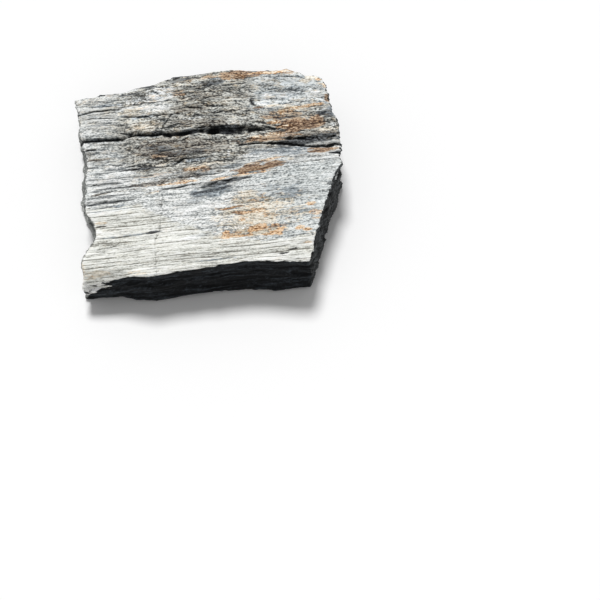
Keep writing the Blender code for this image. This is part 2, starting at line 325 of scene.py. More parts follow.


# The face's stains, by what they look like. A row has what a Stain has: the middle on the plan, the
# reach along and across the grain, and then the strength, where it isn't 1, and the turn in degrees.
# Each tint's rows run from the front of the face to its back. The shade rows are partly the stone's dark
# bands and partly painted shade in cracks, hollows and under ledges.
STAINS: dict[Tint, tuple[tuple[float, ...], ...]] = {
    Tint.RUST: (
        (-70, -51, 5, 0.8, 0.3, 1), (50, -46.6, 2.8, 0.7, 0.7), (28.5, -39.4, 3.4, 0.9, 0.9),
        (50.6, -38.8, 3, 1, 0.95), (13, -38.2, 7.5, 0.9), (18.5, -38, 2, 1.2), (34.5, -38, 5.4, 2, 1, 8),
        (46.5, -37.2, 2.6, 1.2, 0.9), (6.5, -36.5, 2.4, 3), (19.5, -36, 2.6, 1.4, 0.9),
        (12, -35.6, 5, 1.6, 0.5), (24, -34.6, 5.8, 2.4, 1, 8), (33, -33.6, 4, 0.9, 0.85),
        (56, -32.3, 3.6, 0.7, 0.8), (56.5, -29, 4.4, 2.4, 0.6), (15.5, -28.3, 2, 1.1, 0.8),
        (33, -27, 4, 1.2, 0.5, -20), (28.5, -26, 3, 2.4, 0.55, -40), (22, -24.4, 10, 1.4, 0.5, -3),
        (22, -23.2, 9, 1, 0.65, 4), (54, -22.8, 3.4, 1.4, 0.85), (9.5, -20.3, 5, 0.9, 0.9, 4),
        (26, -17, 8, 1.2, 0.45, -4), (28, -14.5, 2.2, 1.2, 0.6), (5, -1.4, 5.5, 1, 0.8, 8),
        (-13, -1, 10, 1.2, 0.75, 3), (19, -0.7, 13, 0.8, 0.75, 2), (-22, -0.4, 9, 1, 0.6, 3),
        (-8, 6.4, 9, 1.4, 0.6, 4), (31, 6.4, 12, 1, 0.65, 5), (71, 9.8, 4, 1.4, 0.6),
        (46, 19.8, 7, 1, 0.5, -3), (29, 21.6, 8, 1, 0.6, -2), (37, 23, 8, 1.4, 0.55),
        (44, 26.2, 6, 1.3, 0.8), (39, 30, 4.6, 1.3, 0.85, -4), (45, 36.6, 10, 1.4, 0.6),
        (60, 38.6, 11.5, 1, 0.8, 3), (69.5, 51.5, 1.6, 3, 0.75), (66.5, 55.6, 2.4, 1.8, 0.95),
        (43, 63, 11, 1.9, 0.8, -4), (31, 64.6, 11, 1.8, 0.7),
    ),
    Tint.GINGER: (
        (35, -34.4, 6.5, 1, 0.8, 2), (13.5, -23.8, 4.2, 1.4, 0.85, -6), (16, -23.6, 7, 1.2, 0.5, -4),
        (15, -19.8, 2.6, 1.1, 0.75), (-40, -0.8, 12, 0.9, 0.45, 2), (21.5, 2.6, 8.5, 2.4, 1, 5),
        (32.5, 3, 10, 2, 1, 5), (-2, 4.8, 5, 1.6, 0.6), (-30, 6, 12, 1.2, 0.5, 2), (63, 9.4, 8, 1.9, 1, -4),
        (-6, 17, 9, 1.4, 0.4), (-24, 17.6, 9, 1.8, 0.55, -2), (24, 19.9, 7, 1.1, 0.6),
        (36, 20.4, 18, 2.2, 0.68, -2), (47, 23, 9, 1.6, 0.7, -3), (52, 26, 13, 4.4, 0.75),
        (62, 28, 6.4, 4, 0.8), (50, 28.4, 11, 2.8, 1, -3), (48, 31, 16, 6, 0.5, -3), (40, 34, 10, 2.4, 0.6),
        (31, 40.8, 4, 0.9, 0.7), (70.5, 42, 2.2, 3, 0.8), (-14, 56.4, 5, 2.2, 0.6),
        (49, 60.8, 5, 1, 0.6, -6), (-52, 61.3, 5, 0.9, 0.6), (18, 61.6, 7.5, 1.7), (28, 64.6, 30, 3.6, 0.7),
        (24, 66.6, 10, 1.1),
    ),
    Tint.TAN: (
        (-42, -54.4, 4, 0.8, 0.7), (-46, -52.6, 4, 0.8, 0.8), (-66, -50.8, 10, 1.7, 0.8, 1),
        (-74, -48, 1.8, 5, 0.8), (52, -41.5, 4, 1.6, 0.4), (1, -37, 4.5, 1.4, 0.55, 10),
        (24, -36, 20, 3.6, 0.85), (20, -31, 14, 3, 0.7), (25, -27, 26, 14, 0.66), (25, -23, 17, 6.5, 0.8),
        (38, -22, 8, 3, 0.6), (-62.5, -20.4, 5, 0.8, 0.8), (17, -15, 9, 4.5, 0.7, 20),
        (-34, -4.7, 6, 0.9, 0.7, 3), (45, 5.6, 3, 1, 0.75), (3, 8.6, 12, 1.4, 0.5, 1),
        (-26, 12.6, 5, 1.4, 0.45), (67, 22.2, 6.5, 1.4, 0.65), (-35.5, 36.8, 10, 3, 0.6),
        (46, 38.5, 18, 3.4, 0.45), (38, 41, 9, 1, 0.65), (52, 41.4, 5, 1, 0.6), (20, 41.6, 8, 1, 0.5),
        (-35, 47.4, 14, 3, 0.75, -2), (8, 47.4, 10, 1, 0.6), (18, 50, 8, 1, 0.5), (-12, 51.6, 7, 1.3, 0.5),
        (30, 54, 5, 3, 0.4), (58.5, 54.8, 3.4, 1.4, 0.6), (63, 57.2, 5, 2.6, 0.75, -16),
        (-66, 58, 8, 2.6, 0.35), (-16, 61.6, 4, 1.4, 0.6), (7, 64.8, 9, 2, 0.8),
    ),
    Tint.UMBER: (
        (-63, -22.6, 4, 0.7, 0.8), (-62, -2.8, 7, 0.8, 0.9, 6), (-47, -2, 9, 0.9, 0.6, 3),
        (-30, 1, 20, 1.4, 0.8, 3), (26, 2, 13, 1.5, 0.8, 4), (-12, 4, 20, 4.6, 0.7, 2),
        (60, 18.2, 20, 2.8, 1, 3), (70, 18.6, 7, 1.7, 0.9), (-64, 19, 9, 0.8, 0.8),
        (0, 19.5, 14, 5, 0.8, -3), (62, 20.6, 12, 1.6, 0.6), (-21, 21.5, 22, 8, 1, -2),
        (-65.5, 23.6, 4.4, 2.6, 0.7), (48, 32.8, 11, 1.5, 1, -3), (4, 34.6, 10, 3.2, 0.7),
        (-12, 37, 13, 3.2, 0.55, -2), (-6, 45.8, 11, 2.4, 0.75), (0, 53, 13, 3.4, 0.6),
        (-6, 65, 12, 1.8, 0.7, 6),
    ),
    Tint.SHADE: (
        (36.5, -51.4, 3, 0.7, 0.8), (42, -49.4, 2.8, 0.6, 0.9), (-33, -29.7, 4.6, 0.8, 0.9),
        (66, -12, 1.8, 1.4, 0.8), (-61, -11.1, 8, 0.6, 0.55, 2), (-5, -10.6, 7, 0.9, 0.6, 4),
        (-57, -8.2, 14, 0.7, 0.65, 1.5), (-2, -7.6, 8, 1.1, 0.8, 6), (6.5, -6.6, 8, 1.1, 0.85, 9),
        (-58, -5, 14, 0.8, 0.6, 3), (3, -4.2, 11, 1.1, 1, 6), (-22, -3.4, 9, 0.8, 0.65),
        (18, -2.8, 7.5, 0.9, 0.75, 3), (-66, -1, 8, 0.5, 0.7, 2), (-54, 0.2, 16, 0.7, 0.6, 1),
        (-58, 2.8, 14, 0.8, 0.6, 2), (-47, 6, 12, 0.5, 0.5, 2), (-66, 6.6, 7, 0.5, 0.65, 2),
        (72, 7.2, 4, 0.9, 0.9), (-58, 10.4, 14, 0.5, 0.6, 2), (-39, 10.9, 13, 0.9, 0.75, -2),
        (-62, 14.8, 12, 0.6, 0.6, 2), (58, 16.8, 20, 2.6, 1, 3), (-12, 17.6, 14, 2.4, 0.55, -2),
        (-28, 22.4, 12, 3, 0.6, -2), (-67, 25.6, 4, 0.7, 0.9), (11, 30.2, 15, 2.2, 1, -5),
        (-9, 31.6, 10, 1.3, 0.9), (-61, 32.2, 14, 1, 0.9, -3), (-33, 32.6, 13, 1.6, 1, -3),
        (46, 32.6, 8, 0.8, 0.75, -3), (69, 33, 5.4, 3.4, 0.78), (-60, 41, 12, 0.7, 0.6, -2),
        (27.5, 46.2, 1.5, 2.8, 0.85), (-27, 58.4, 4, 0.7, 0.8, -40), (-42, 59.6, 6, 0.8, 1, 3),
        (5, 59.6, 8, 1.8, 0.7), (40, 61.2, 6.5, 0.8, 0.55), (-33, 63.8, 4.8, 0.9, 1, 4),
        (-14, 66, 12, 2, 0.55, 5),
    ),
    Tint.SLATE: (
        (0, -50.6, 12, 0.6, 0.8), (30, -36.4, 2.2, 1.1, 0.85), (-48, -30.3, 14, 0.7, 0.6),
        (46.5, -26.4, 6, 2.6, 0.8), (43, -14.6, 9, 5.4, 0.7, -4), (-6, -13, 10, 3, 0.5, 5),
        (34, -12, 6, 4, 0.55), (-52, -10.6, 5, 1.4, 0.85), (0, -8.2, 13, 4.2, 0.85, 6.5),
        (-10, 2.2, 13, 1.1, 0.85, 2), (39, 4, 3.4, 1.6, 0.75), (14, 5.4, 8, 0.9, 0.7, 2),
        (45, 11.4, 24, 3.2, 0.8, -3), (-9, 12.6, 12, 0.9, 0.8, 2), (69, 32.8, 5.4, 3.8),
        (-7, 39.2, 8, 1, 0.6), (-36, 43.8, 8, 0.9, 0.7), (48, 50, 15, 7, 0.55), (-58, 54, 14, 0.9, 0.8, -1),
        (-33, 57, 15, 4.6, 0.5, 6), (-52, 57.6, 12, 1.4, 0.4, 3), (56, 58.2, 3.4, 1.3, 0.8),
        (8, 62.2, 4.6, 1.3, 0.9), (47, 66, 7, 2, 0.95),
    ),
    Tint.CHALK: (
        # The first row whitens the broken corner's rim: partly its pale colour, partly painted light for a
        # slope that gets less light.
        (-62, -60.5, 22, 4.6), (-12, -35.6, 8, 2, 0.9, 8), (14, -33, 8, 1.8, 0.6), (-14, -24, 14, 6, 0.6),
        (0, -15, 10, 3, 0.7), (-57, -13.4, 13, 1.2, 0.9, 2), (-60, -9.8, 9, 0.7, 0.9, 1),
        (-55, -9.8, 13, 0.8, 0.9, 2), (-38, -8, 6, 1, 0.7), (22, -8, 10, 3.4, 0.7),
        (-60, -6.7, 13, 0.9, 0.95, 2), (-50, -5.2, 18, 1.5, 1, 3), (-60, 1.8, 12, 0.9, 0.9, 1),
        (-52, 4, 12, 0.8, 0.85, 1), (-60, 5, 13, 1.2, 0.95), (-56, 8.4, 17, 1.6, 1, 1),
        (30, 11, 20, 3, 0.45), (-58, 12.6, 13, 1, 0.85, 1), (-56, 12.6, 15, 1.1, 0.9),
        (11.5, 14, 5.4, 0.7, 0.85, 76), (44, 21.6, 2.6, 1, 1, -50), (72, 24.8, 3.4, 1.3, 0.8),
        (-64, 29.6, 9, 1.2, 0.6), (22, 33.6, 9, 2.4, 0.35), (-66, 37, 6, 2.4, 0.5), (33.5, 43.6, 3.2, 1.4),
        (63.3, 47, 2.4, 1.6, 0.95), (48, 47.6, 16, 7, 0.42), (-29, 48.4, 9, 2.6, 0.8), (36.8, 49, 1.7, 1.1),
        (-37, 54.6, 12, 2.6, 0.55, 6), (-25, 57, 8, 5.4), (-42, 63, 8, 1.6, 0.8, 8),
        (50.5, 66.2, 1.5, 1, 0.9),
    ),
}

# The splits that are large enough to have places of their own. A row has what a Split has: the path,
# half of the width, the depth, how far from each end it is whole, and how much of it is interrupted.
SPLITS = (
    # The main crack, from the left end to its thin right end.
    (((-78, 32.8), (-70, 32.3), (-60, 31.9), (-50, 31.2), (-45, 31.2)), 1, 2.8, 2.5, 0.1),
    (
        ((-49, 31.6), (-44, 32.6), (-36, 32.5), (-30, 31.8), (-25, 31.4), (-16, 31.1), (-7, 31.2)),
        1.5, 2.4, 5, 0.25,
    ),
    (((-50, 35.4), (-46, 34.6), (-41, 34.2), (-36, 33.8)), 0.5, 1.2, 3, 0.5),
    (((-46, 33.2), (-36, 32.9), (-30, 32.2), (-22, 31.8)), 1.1, 2.4, 5, 0.3),
    (((-26, 31.2), (-15, 30.8), (-11, 31.2), (-6, 31.4), (5, 30.7), (12, 30)), 1.3, 1.8, 4, 0.4),
    (((-6, 31.4), (5, 30.9), (10, 30.7), (16, 30.2), (22, 29.4), (31, 28.4)), 1, 2, 4, 0.4),
    (((-3, 30.3), (8, 28.8), (14, 27.8), (19, 27.2), (26, 26.6), (33, 26.6)), 1.2, 2.6, 5, 0.2),
    (((-4, 30.2), (4, 30), (11, 29.1), (17, 28.8), (24, 27.9), (29, 27.9)), 1.8, 1.3, 8, 0.15),
    (((-9, 33.2), (-1, 33), (6, 32.2), (13, 32), (20, 30.9)), 0.5, 1, 4, 0.5),
    (((20, 27.6), (28, 27.2), (36, 26.6), (42, 26.2)), 0.6, 1.6, 4, 0.3),
    (((23, 27), (30, 26.3), (36, 25.7), (43, 25.2)), 0.45, 1.4, 4, 0.3),
    # The dark wedge at the right end.
    (((14, 18.8), (20, 18.4), (33, 17.5)), 0.5, 1.4, 4, 0.4),
    (
        ((29, 17.4), (40, 16.7), (50, 14.8), (56, 13.4), (62, 12.4), (68, 12.3), (79, 12.4)),
        0.75, 2.2, 6, 0.1,
    ),
    (((40, 19), (52, 17.9), (64, 17.6), (79, 17)), 0.4, 0.7, 5, 0.8),
    (((66, 7.4), (71, 7), (76, 6.4)), 0.6, 1.2, 2, 0.4),
    # The back left.
    (((-79, 50.2), (-72, 50.3), (-62, 50.8), (-52, 51), (-46, 50.6)), 0.55, 1.2, 4, 0.2),
    (((-62, 48.6), (-54, 49.2), (-49, 49)), 0.35, 0.7, 3, 0.4),
    (((-73, 46.4), (-64, 46.2), (-56, 45.6), (-50, 45.2)), 0.4, 0.8, 5, 0.6),
    (((-72, 43.8), (-64, 43.6), (-56, 43.4)), 0.3, 0.6, 5, 0.8),
    (((-49, 45.8), (-44, 45), (-38, 44), (-30, 43.5)), 0.6, 1.2, 3, 0.2),
    (((-30, 43.5), (-24, 43.6), (-18, 43.4), (-13, 43.8)), 0.4, 0.9, 2, 0.3),
    (((-26, 33.6), (-24.5, 36), (-20, 42.4), (-18, 45)), 0.4, 0.9, 2, 0.2),
    (((-14, 49), (-8, 46.6), (0, 45.8)), 0.45, 0.9, 3, 0.6),
    (((-44, 52.6), (-38, 52), (-34, 52.2)), 0.4, 0.7, 3, 0.6),
    (((-30, 60.4), (-27, 58.4), (-24, 57.2)), 0.4, 0.7, 2, 0.3),
    (((-50, 60.2), (-44, 60), (-36, 60.6)), 0.45, 0.8, 3, 0.4),
    (((-38, 64.2), (-33, 64.7), (-28, 65)), 0.5, 0.9, 3, 0.3),
    (((-12, 60.2), (-2, 59), (8, 58.6)), 0.45, 0.9, 4, 0.6),
    (((-12, 56.2), (-4, 55.4), (4, 55.6)), 0.45, 0.9, 4, 0.7),
    (((-4, 51.4), (4, 51.8), (12, 51.6)), 0.5, 0.9, 4, 0.6),
    (((2, 41.6), (12, 41.2), (24, 41)), 0.35, 0.8, 4, 0.6),
    (((4, 57.4), (14, 57.2), (26, 57)), 0.4, 0.8, 4, 0.7),
    (((30, 55.6), (38, 54.6), (42, 54.4)), 0.45, 0.8, 3, 0.6),
    (((26, 49), (27.4, 45.6), (30, 43)), 0.6, 1, 1.5, 0.2),
    (((53, 60), (59, 56), (64, 54.5)), 0.4, 0.7, 3, 0.6),
    (((66, 44), (68, 41.6), (71, 40)), 0.5, 0.8, 1.5, 0.4),
    (((34, 34), (44, 33.4), (56, 32)), 0.5, 0.9, 4, 0.6),
    # The middle.
    (((-71, 25.7), (-67, 25.7), (-62, 25.8)), 0.5, 0.9, 2, 0.3),
    (((-42, 25), (-40, 24.4), (-37, 24)), 0.5, 0.8, 1.5, 0.3),
    (((-30, 21.3), (-24, 20.7), (-16, 20.7), (-8, 21.6), (2, 21.6)), 0.5, 1.1, 4, 0.6),
    (((-24, 16.8), (-20, 16), (-17, 15.8)), 0.5, 0.9, 2, 0.3),
    (((-22, 11), (-18, 11.8), (-13, 13.6), (-6, 13.8), (4, 13.2)), 0.5, 1.1, 3, 0.3),
    (((-41, 12.9), (-34, 12), (-28, 11), (-21, 10.6)), 0.45, 0.9, 3, 0.5),
    (((-55, 14.6), (-51, 14.6), (-47, 14.5)), 0.45, 0.9, 2, 0.2),
    (((-60, 12.4), (-52, 12.2), (-46, 13), (-40, 13.4)), 0.4, 0.8, 3, 0.4),
    (((-52, 11), (-46, 10.8), (-39, 10.6)), 0.5, 0.9, 3, 0.4),
    (((-68, 17.6), (-60, 17.2), (-50, 16.9)), 0.35, 0.7, 4, 0.7),
    (((-66, 10.2), (-58, 10.4), (-50, 10)), 0.35, 0.7, 4, 0.7),
    (((-70, 6), (-60, 6), (-44, 6.4), (-30, 6)), 0.35, 0.7, 4, 0.6),
    (((-69, 2.8), (-58, 3.4), (-48, 3)), 0.4, 0.8, 4, 0.4),
    (((-66, 0.4), (-54, 0.4), (-40, 1.2)), 0.35, 0.7, 4, 0.6),
    (((-67, -3.8), (-61, -2), (-52, -1.2)), 0.45, 0.8, 3, 0.4),
    (((8, 9.2), (18, 9.4), (30, 9)), 0.3, 0.6, 4, 0.7),
    (((-10, 2.4), (0, 2), (10, 3)), 0.4, 0.7, 4, 0.6),
    (((-28, -3.6), (-20, -3.4), (-12, -3.2)), 0.4, 0.8, 3, 0.4),
    (((-3, -4.4), (4, -2.6), (9, -3.2), (14.6, -1.7), (18.7, -2.9), (24, -2.3)), 0.5, 0.7, 3, 0.7),
    (((-71, -9.2), (-62, -8.3), (-54, -8.4), (-48, -8), (-43, -7.4)), 0.4, 0.5, 2, 1),
    (((-67, -11.6), (-60, -10.8), (-54, -10.6)), 0.35, 0.4, 3, 1),
    # The evenly grooved front part.
    (((-68, -22.8), (-63, -22.6), (-58, -22.4)), 0.35, 0.6, 3, 0.2),
    (((-67, -37), (-60, -36.5), (-52, -35.8)), 0.35, 0.6, 3, 0.5),
    (((-65, -30.6), (-50, -30.4), (-37, -29.8), (-28, -29.8)), 0.3, 0.35, 4, 0.9),
    (((-46, -49.6), (-40, -49.2), (-33, -49)), 0.3, 0.5, 3, 0.5),
    (((-10, -50.6), (0, -50.6), (11, -50.2)), 0.4, 0.6, 4, 0.5),
    (((38, -49.9), (42, -49.4), (45, -49)), 0.45, 0.8, 1.5, 0.2),
    (((33, -51.8), (37, -51.4), (40, -51)), 0.4, 0.7, 1.5, 0.2),
    (((-27.9, -5), (-27.5, -9), (-28.5, -13), (-28.1, -17), (-29.4, -21), (-30.2, -30.5)), 0.4, 0.5, 2, 1),
    (((-30.2, -30.5), (-33, -34), (-33.4, -38), (-33.6, -47), (-33.5, -57)), 0.4, 0.7, 2, 1),
)

# The solid's wide cracks: the main one, the wedge at the right end, the hollow and the back left one.
WIDE_CRACKS = (
    WideCrack(
        ((-78, 33), (-60, 31.8), (-46, 31), (-32, 31.8), (-9, 31.3), (4, 30.4), (16, 28.2), (42, 25.5)),
        closed_x=(-80, -12, 0, 24, 32, 60),
        closed=(1, 1, 0.84, 0.84, 1, 1),
    ),
    WideCrack(
        ((16, 18.8), (30, 17.1), (41, 16.7), (52, 14.6), (64, 12), (80, 11.7)),
        closed_x=(10, 40, 60, 80),
        closed=(1, 1, 0.6, 0.5),
        reach=3.4,
    ),
    WideCrack(((-25, -2.6), (-12, -3.5), (5, -3.4), (16, -2.4), (26, -3.2)), (-30, 30), (1, 1), 3.4),
    WideCrack(((-80, 51.6), (-60, 50.2), (-44, 49.2)), (-80, 0), (0.8, 0.8), 3.0),
)


@dataclass(frozen=True)
class GrainPlan:
    """How the wood's grain runs over the split face.

    Attributes:
        layer: How thick one growth layer is.
        corner_layer: How high one layer is at the broken corner, where the layers show edge on.
        fall_x, fall: How far the grain has sunk towards the front at each X, in the back half.
        fall_start, fall_full: Between these Y, the grain changes from straight to sinking.
        tilt: How far the layers lean over as they go down into the stone.
        face_height: The face's height at the middle of the plan. The lean is counted from it.
        face_slope: How much the face rises to the right, per length.
    """

    layer: float = 2.9
    corner_layer: float = 3.9
    fall_x: tuple[float, ...] = (-80, -45, -8, 16, 42, 64, 80)
    fall: tuple[float, ...] = (-1.8, 0, 0.3, 3, 6, 8.5, 9.5)
    fall_start: float = 0.0
    fall_full: float = 16.0
    tilt: float = 0.45
    face_height: float = 30.5
    face_slope: float = 0.055

    def across(self, places: np.ndarray) -> np.ndarray:
        """Each point's place across the grain: the same all along one fibre.

        Args:
            places: Places on the plan.

        Returns:
            Their places across the grain.
        """
        x, y, z = places.T
        sunk = np.interp(x, self.fall_x, self.fall) * smooth(self.fall_start, self.fall_full, y)
        bend = 0.8 * StoneNoise(3).waves(places, (46, 15, 40))
        return y + sunk + bend + self.tilt * (z - self.face_height)

    def wavering(self, x: np.ndarray, across: np.ndarray, rough: np.ndarray) -> np.ndarray:
        """The places across the grain once the fibres of the rough part waver.

        Args:
            x, across: Places along and across the grain.
            rough: How broken the face is at each place.

        Returns:
            The new places across the grain.
        """
        fibre = flat(x, across)
        sway = waves(fibre, (1.5, 8, (11, 6, 1)), (0.6, 9, (4.2, 2.6, 1)))
        return across + sway * (0.2 + 0.8 * rough)

    def growth(self, places: np.ndarray, across: np.ndarray, corner: np.ndarray) -> np.ndarray:
        """How many growth layers lie before each point. Each whole number is a dark line.

        Args:
            places, across: Places on the plan, and across the grain.
            corner: Where the broken corner is, from 0 to 1. Its layers are counted from the floor.

        Returns:
            The count at each place.
        """
        fibre = flat(places[:, 0], across)
        broad, narrow = StoneNoise(5).waves(fibre, (55, 7, 1)), StoneNoise(6).waves(fibre, (18, 5, 1))
        growth = across / self.layer + 0.42 * broad + 0.1 * narrow
        at_corner = places[:, 2] / self.corner_layer + 0.3 * StoneNoise(7).waves(places, (12, 30, 4))
        return growth + corner * (at_corner - growth)


@dataclass(frozen=True)
class RandomMarks:
    """The many small splits and layer ends that run along the grain, placed by chance.

    Attributes:
        seed: The seed of the draws.
        splits: How many small splits there are.
        ledges: How many layer ends there are.
        split_reach: How far across the grain a small split is looked for.
        ledge_reach: How far across the grain a layer end is felt.
        apart: What stands for the distance to a split where there is none near, in half widths.
    """

    seed: int = 8
    splits: int = 620
    ledges: int = 130
    split_reach: float = 3.0
    ledge_reach: float = 9.0
    apart: float = 9.0

    def near(self, dx: np.ndarray, dy: np.ndarray, half_length: float, reach: float) -> np.ndarray:
        """Which places lie near a mark, by how far they are from its middle each way."""
        return np.flatnonzero((np.abs(dy) < reach) & (np.abs(dx) < half_length))

    def small_splits(self, x: np.ndarray, across: np.ndarray, rough: np.ndarray) -> tuple[np.ndarray, ...]:
        """The small splits, deeper where the face is rough.

        Args:
            x, across: Places along and across the grain.
            rough: How broken the face is at each place.

        Returns:
            Their depth at each place, how far the nearest one is in its own half widths (below 0 on
            its front side), and how open that one is.
        """
        draw = np.random.default_rng(self.seed)
        depth, gap, opening = np.zeros(len(x)), np.full(len(x), self.apart), np.zeros(len(x))
        for _ in range(self.splits):
            middle, line = draw.uniform(-76, 76), draw.uniform(-62, 76)
            half_length, half_width = draw.uniform(2, 5) * draw.uniform(1, 3), draw.uniform(0.18, 0.42)
            deepest, bow = draw.uniform(0.12, 0.8), draw.uniform(-0.6, 0.6)
            near = self.near(x - middle, across - line, half_length, self.split_reach)
            share = (x[near] - middle) / half_length
            ends = 1 - share * share
            offset = (across[near] - line - bow * share * share) / (half_width * (0.3 + 0.7 * ends))
            depth[near] = np.maximum(depth[near], deepest * ends * np.exp(-(offset * half_width / 0.5) ** 2))
            closer = np.abs(offset) < np.abs(gap[near])
            gap[near] = np.where(closer, offset, gap[near])
            opening[near] = np.where(closer, ends * (0.1 + 0.65 * deepest), opening[near])
        return depth * (0.25 + 0.75 * rough), gap, opening * (0.45 + 0.55 * rough)

    def layer_ends(self, x: np.ndarray, across: np.ndarray, rough: np.ndarray) -> np.ndarray:
        """Height that the ends of single layers add, each a small step down to the front.

        Args:
            x, across: Places along and across the grain.
            rough: How broken the face is at each place.

        Returns:
            The height that is added at each place.
        """
        draw = np.random.default_rng(self.seed + 1)
        fibre = flat(x, across)
        wander = waves(fibre, (0.9, 21, (9, 5, 1)), (0.5, 22, (3, 2, 1)))
        height = np.zeros(len(x))
        for _ in range(self.ledges):
            middle, line = draw.uniform(-78, 78), draw.uniform(-56, 76)
            half_length, drop = draw.uniform(5, 14) * draw.uniform(1, 3), draw.uniform(0.25, 0.85)
            near = self.near(x - middle, across - line, half_length, self.ledge_reach)
            share = (x[near] - middle) / half_length
            offset = across[near] - line - wander[near]
            step = smooth(-0.35, 0.35, offset) - 0.5
            height[near] += drop * step * np.exp(-np.abs(offset) / 2.2) * (1 - share**4)
        return height * (0.3 + 0.7 * rough)


# ---------------------------------------------------------------- the chunk


@dataclass
class Surface:
    """The points of the chunk's surface, and what is known at each of them.

    Attributes:
        points: Each point's place in the frame.
        normals: Each point's outward direction, on the smooth form under the relief.
        edges: The two ends of each edge.
    """

    points: np.ndarray
    normals: np.ndarray
    edges: np.ndarray

    def averaged(self, rounds: int) -> np.ndarray:
        """The points, once each has been moved to the mean of its neighbours a number of times.

        Args:
            rounds: How many times they are moved.

        Returns:
            The points' new places.
        """
        ends = np.concatenate([self.edges, self.edges[:, ::-1]])
        count = len(self.points)
        shares = np.bincount(ends[:, 0], minlength=count) + 1.0
        moved = self.points
        for _ in range(rounds):
            total = moved.copy()
            for axis in range(3):
                total[:, axis] += np.bincount(ends[:, 0], weights=moved[ends[:, 1], axis], minlength=count)
            moved = total / shares[:, None]
        return moved

    def hollowness(self, rounds: int) -> np.ndarray:
        """How far each point lies below its surroundings, and below 0 where it stands proud."""
        return ((self.averaged(rounds) - self.points) * self.normals).sum(axis=1)


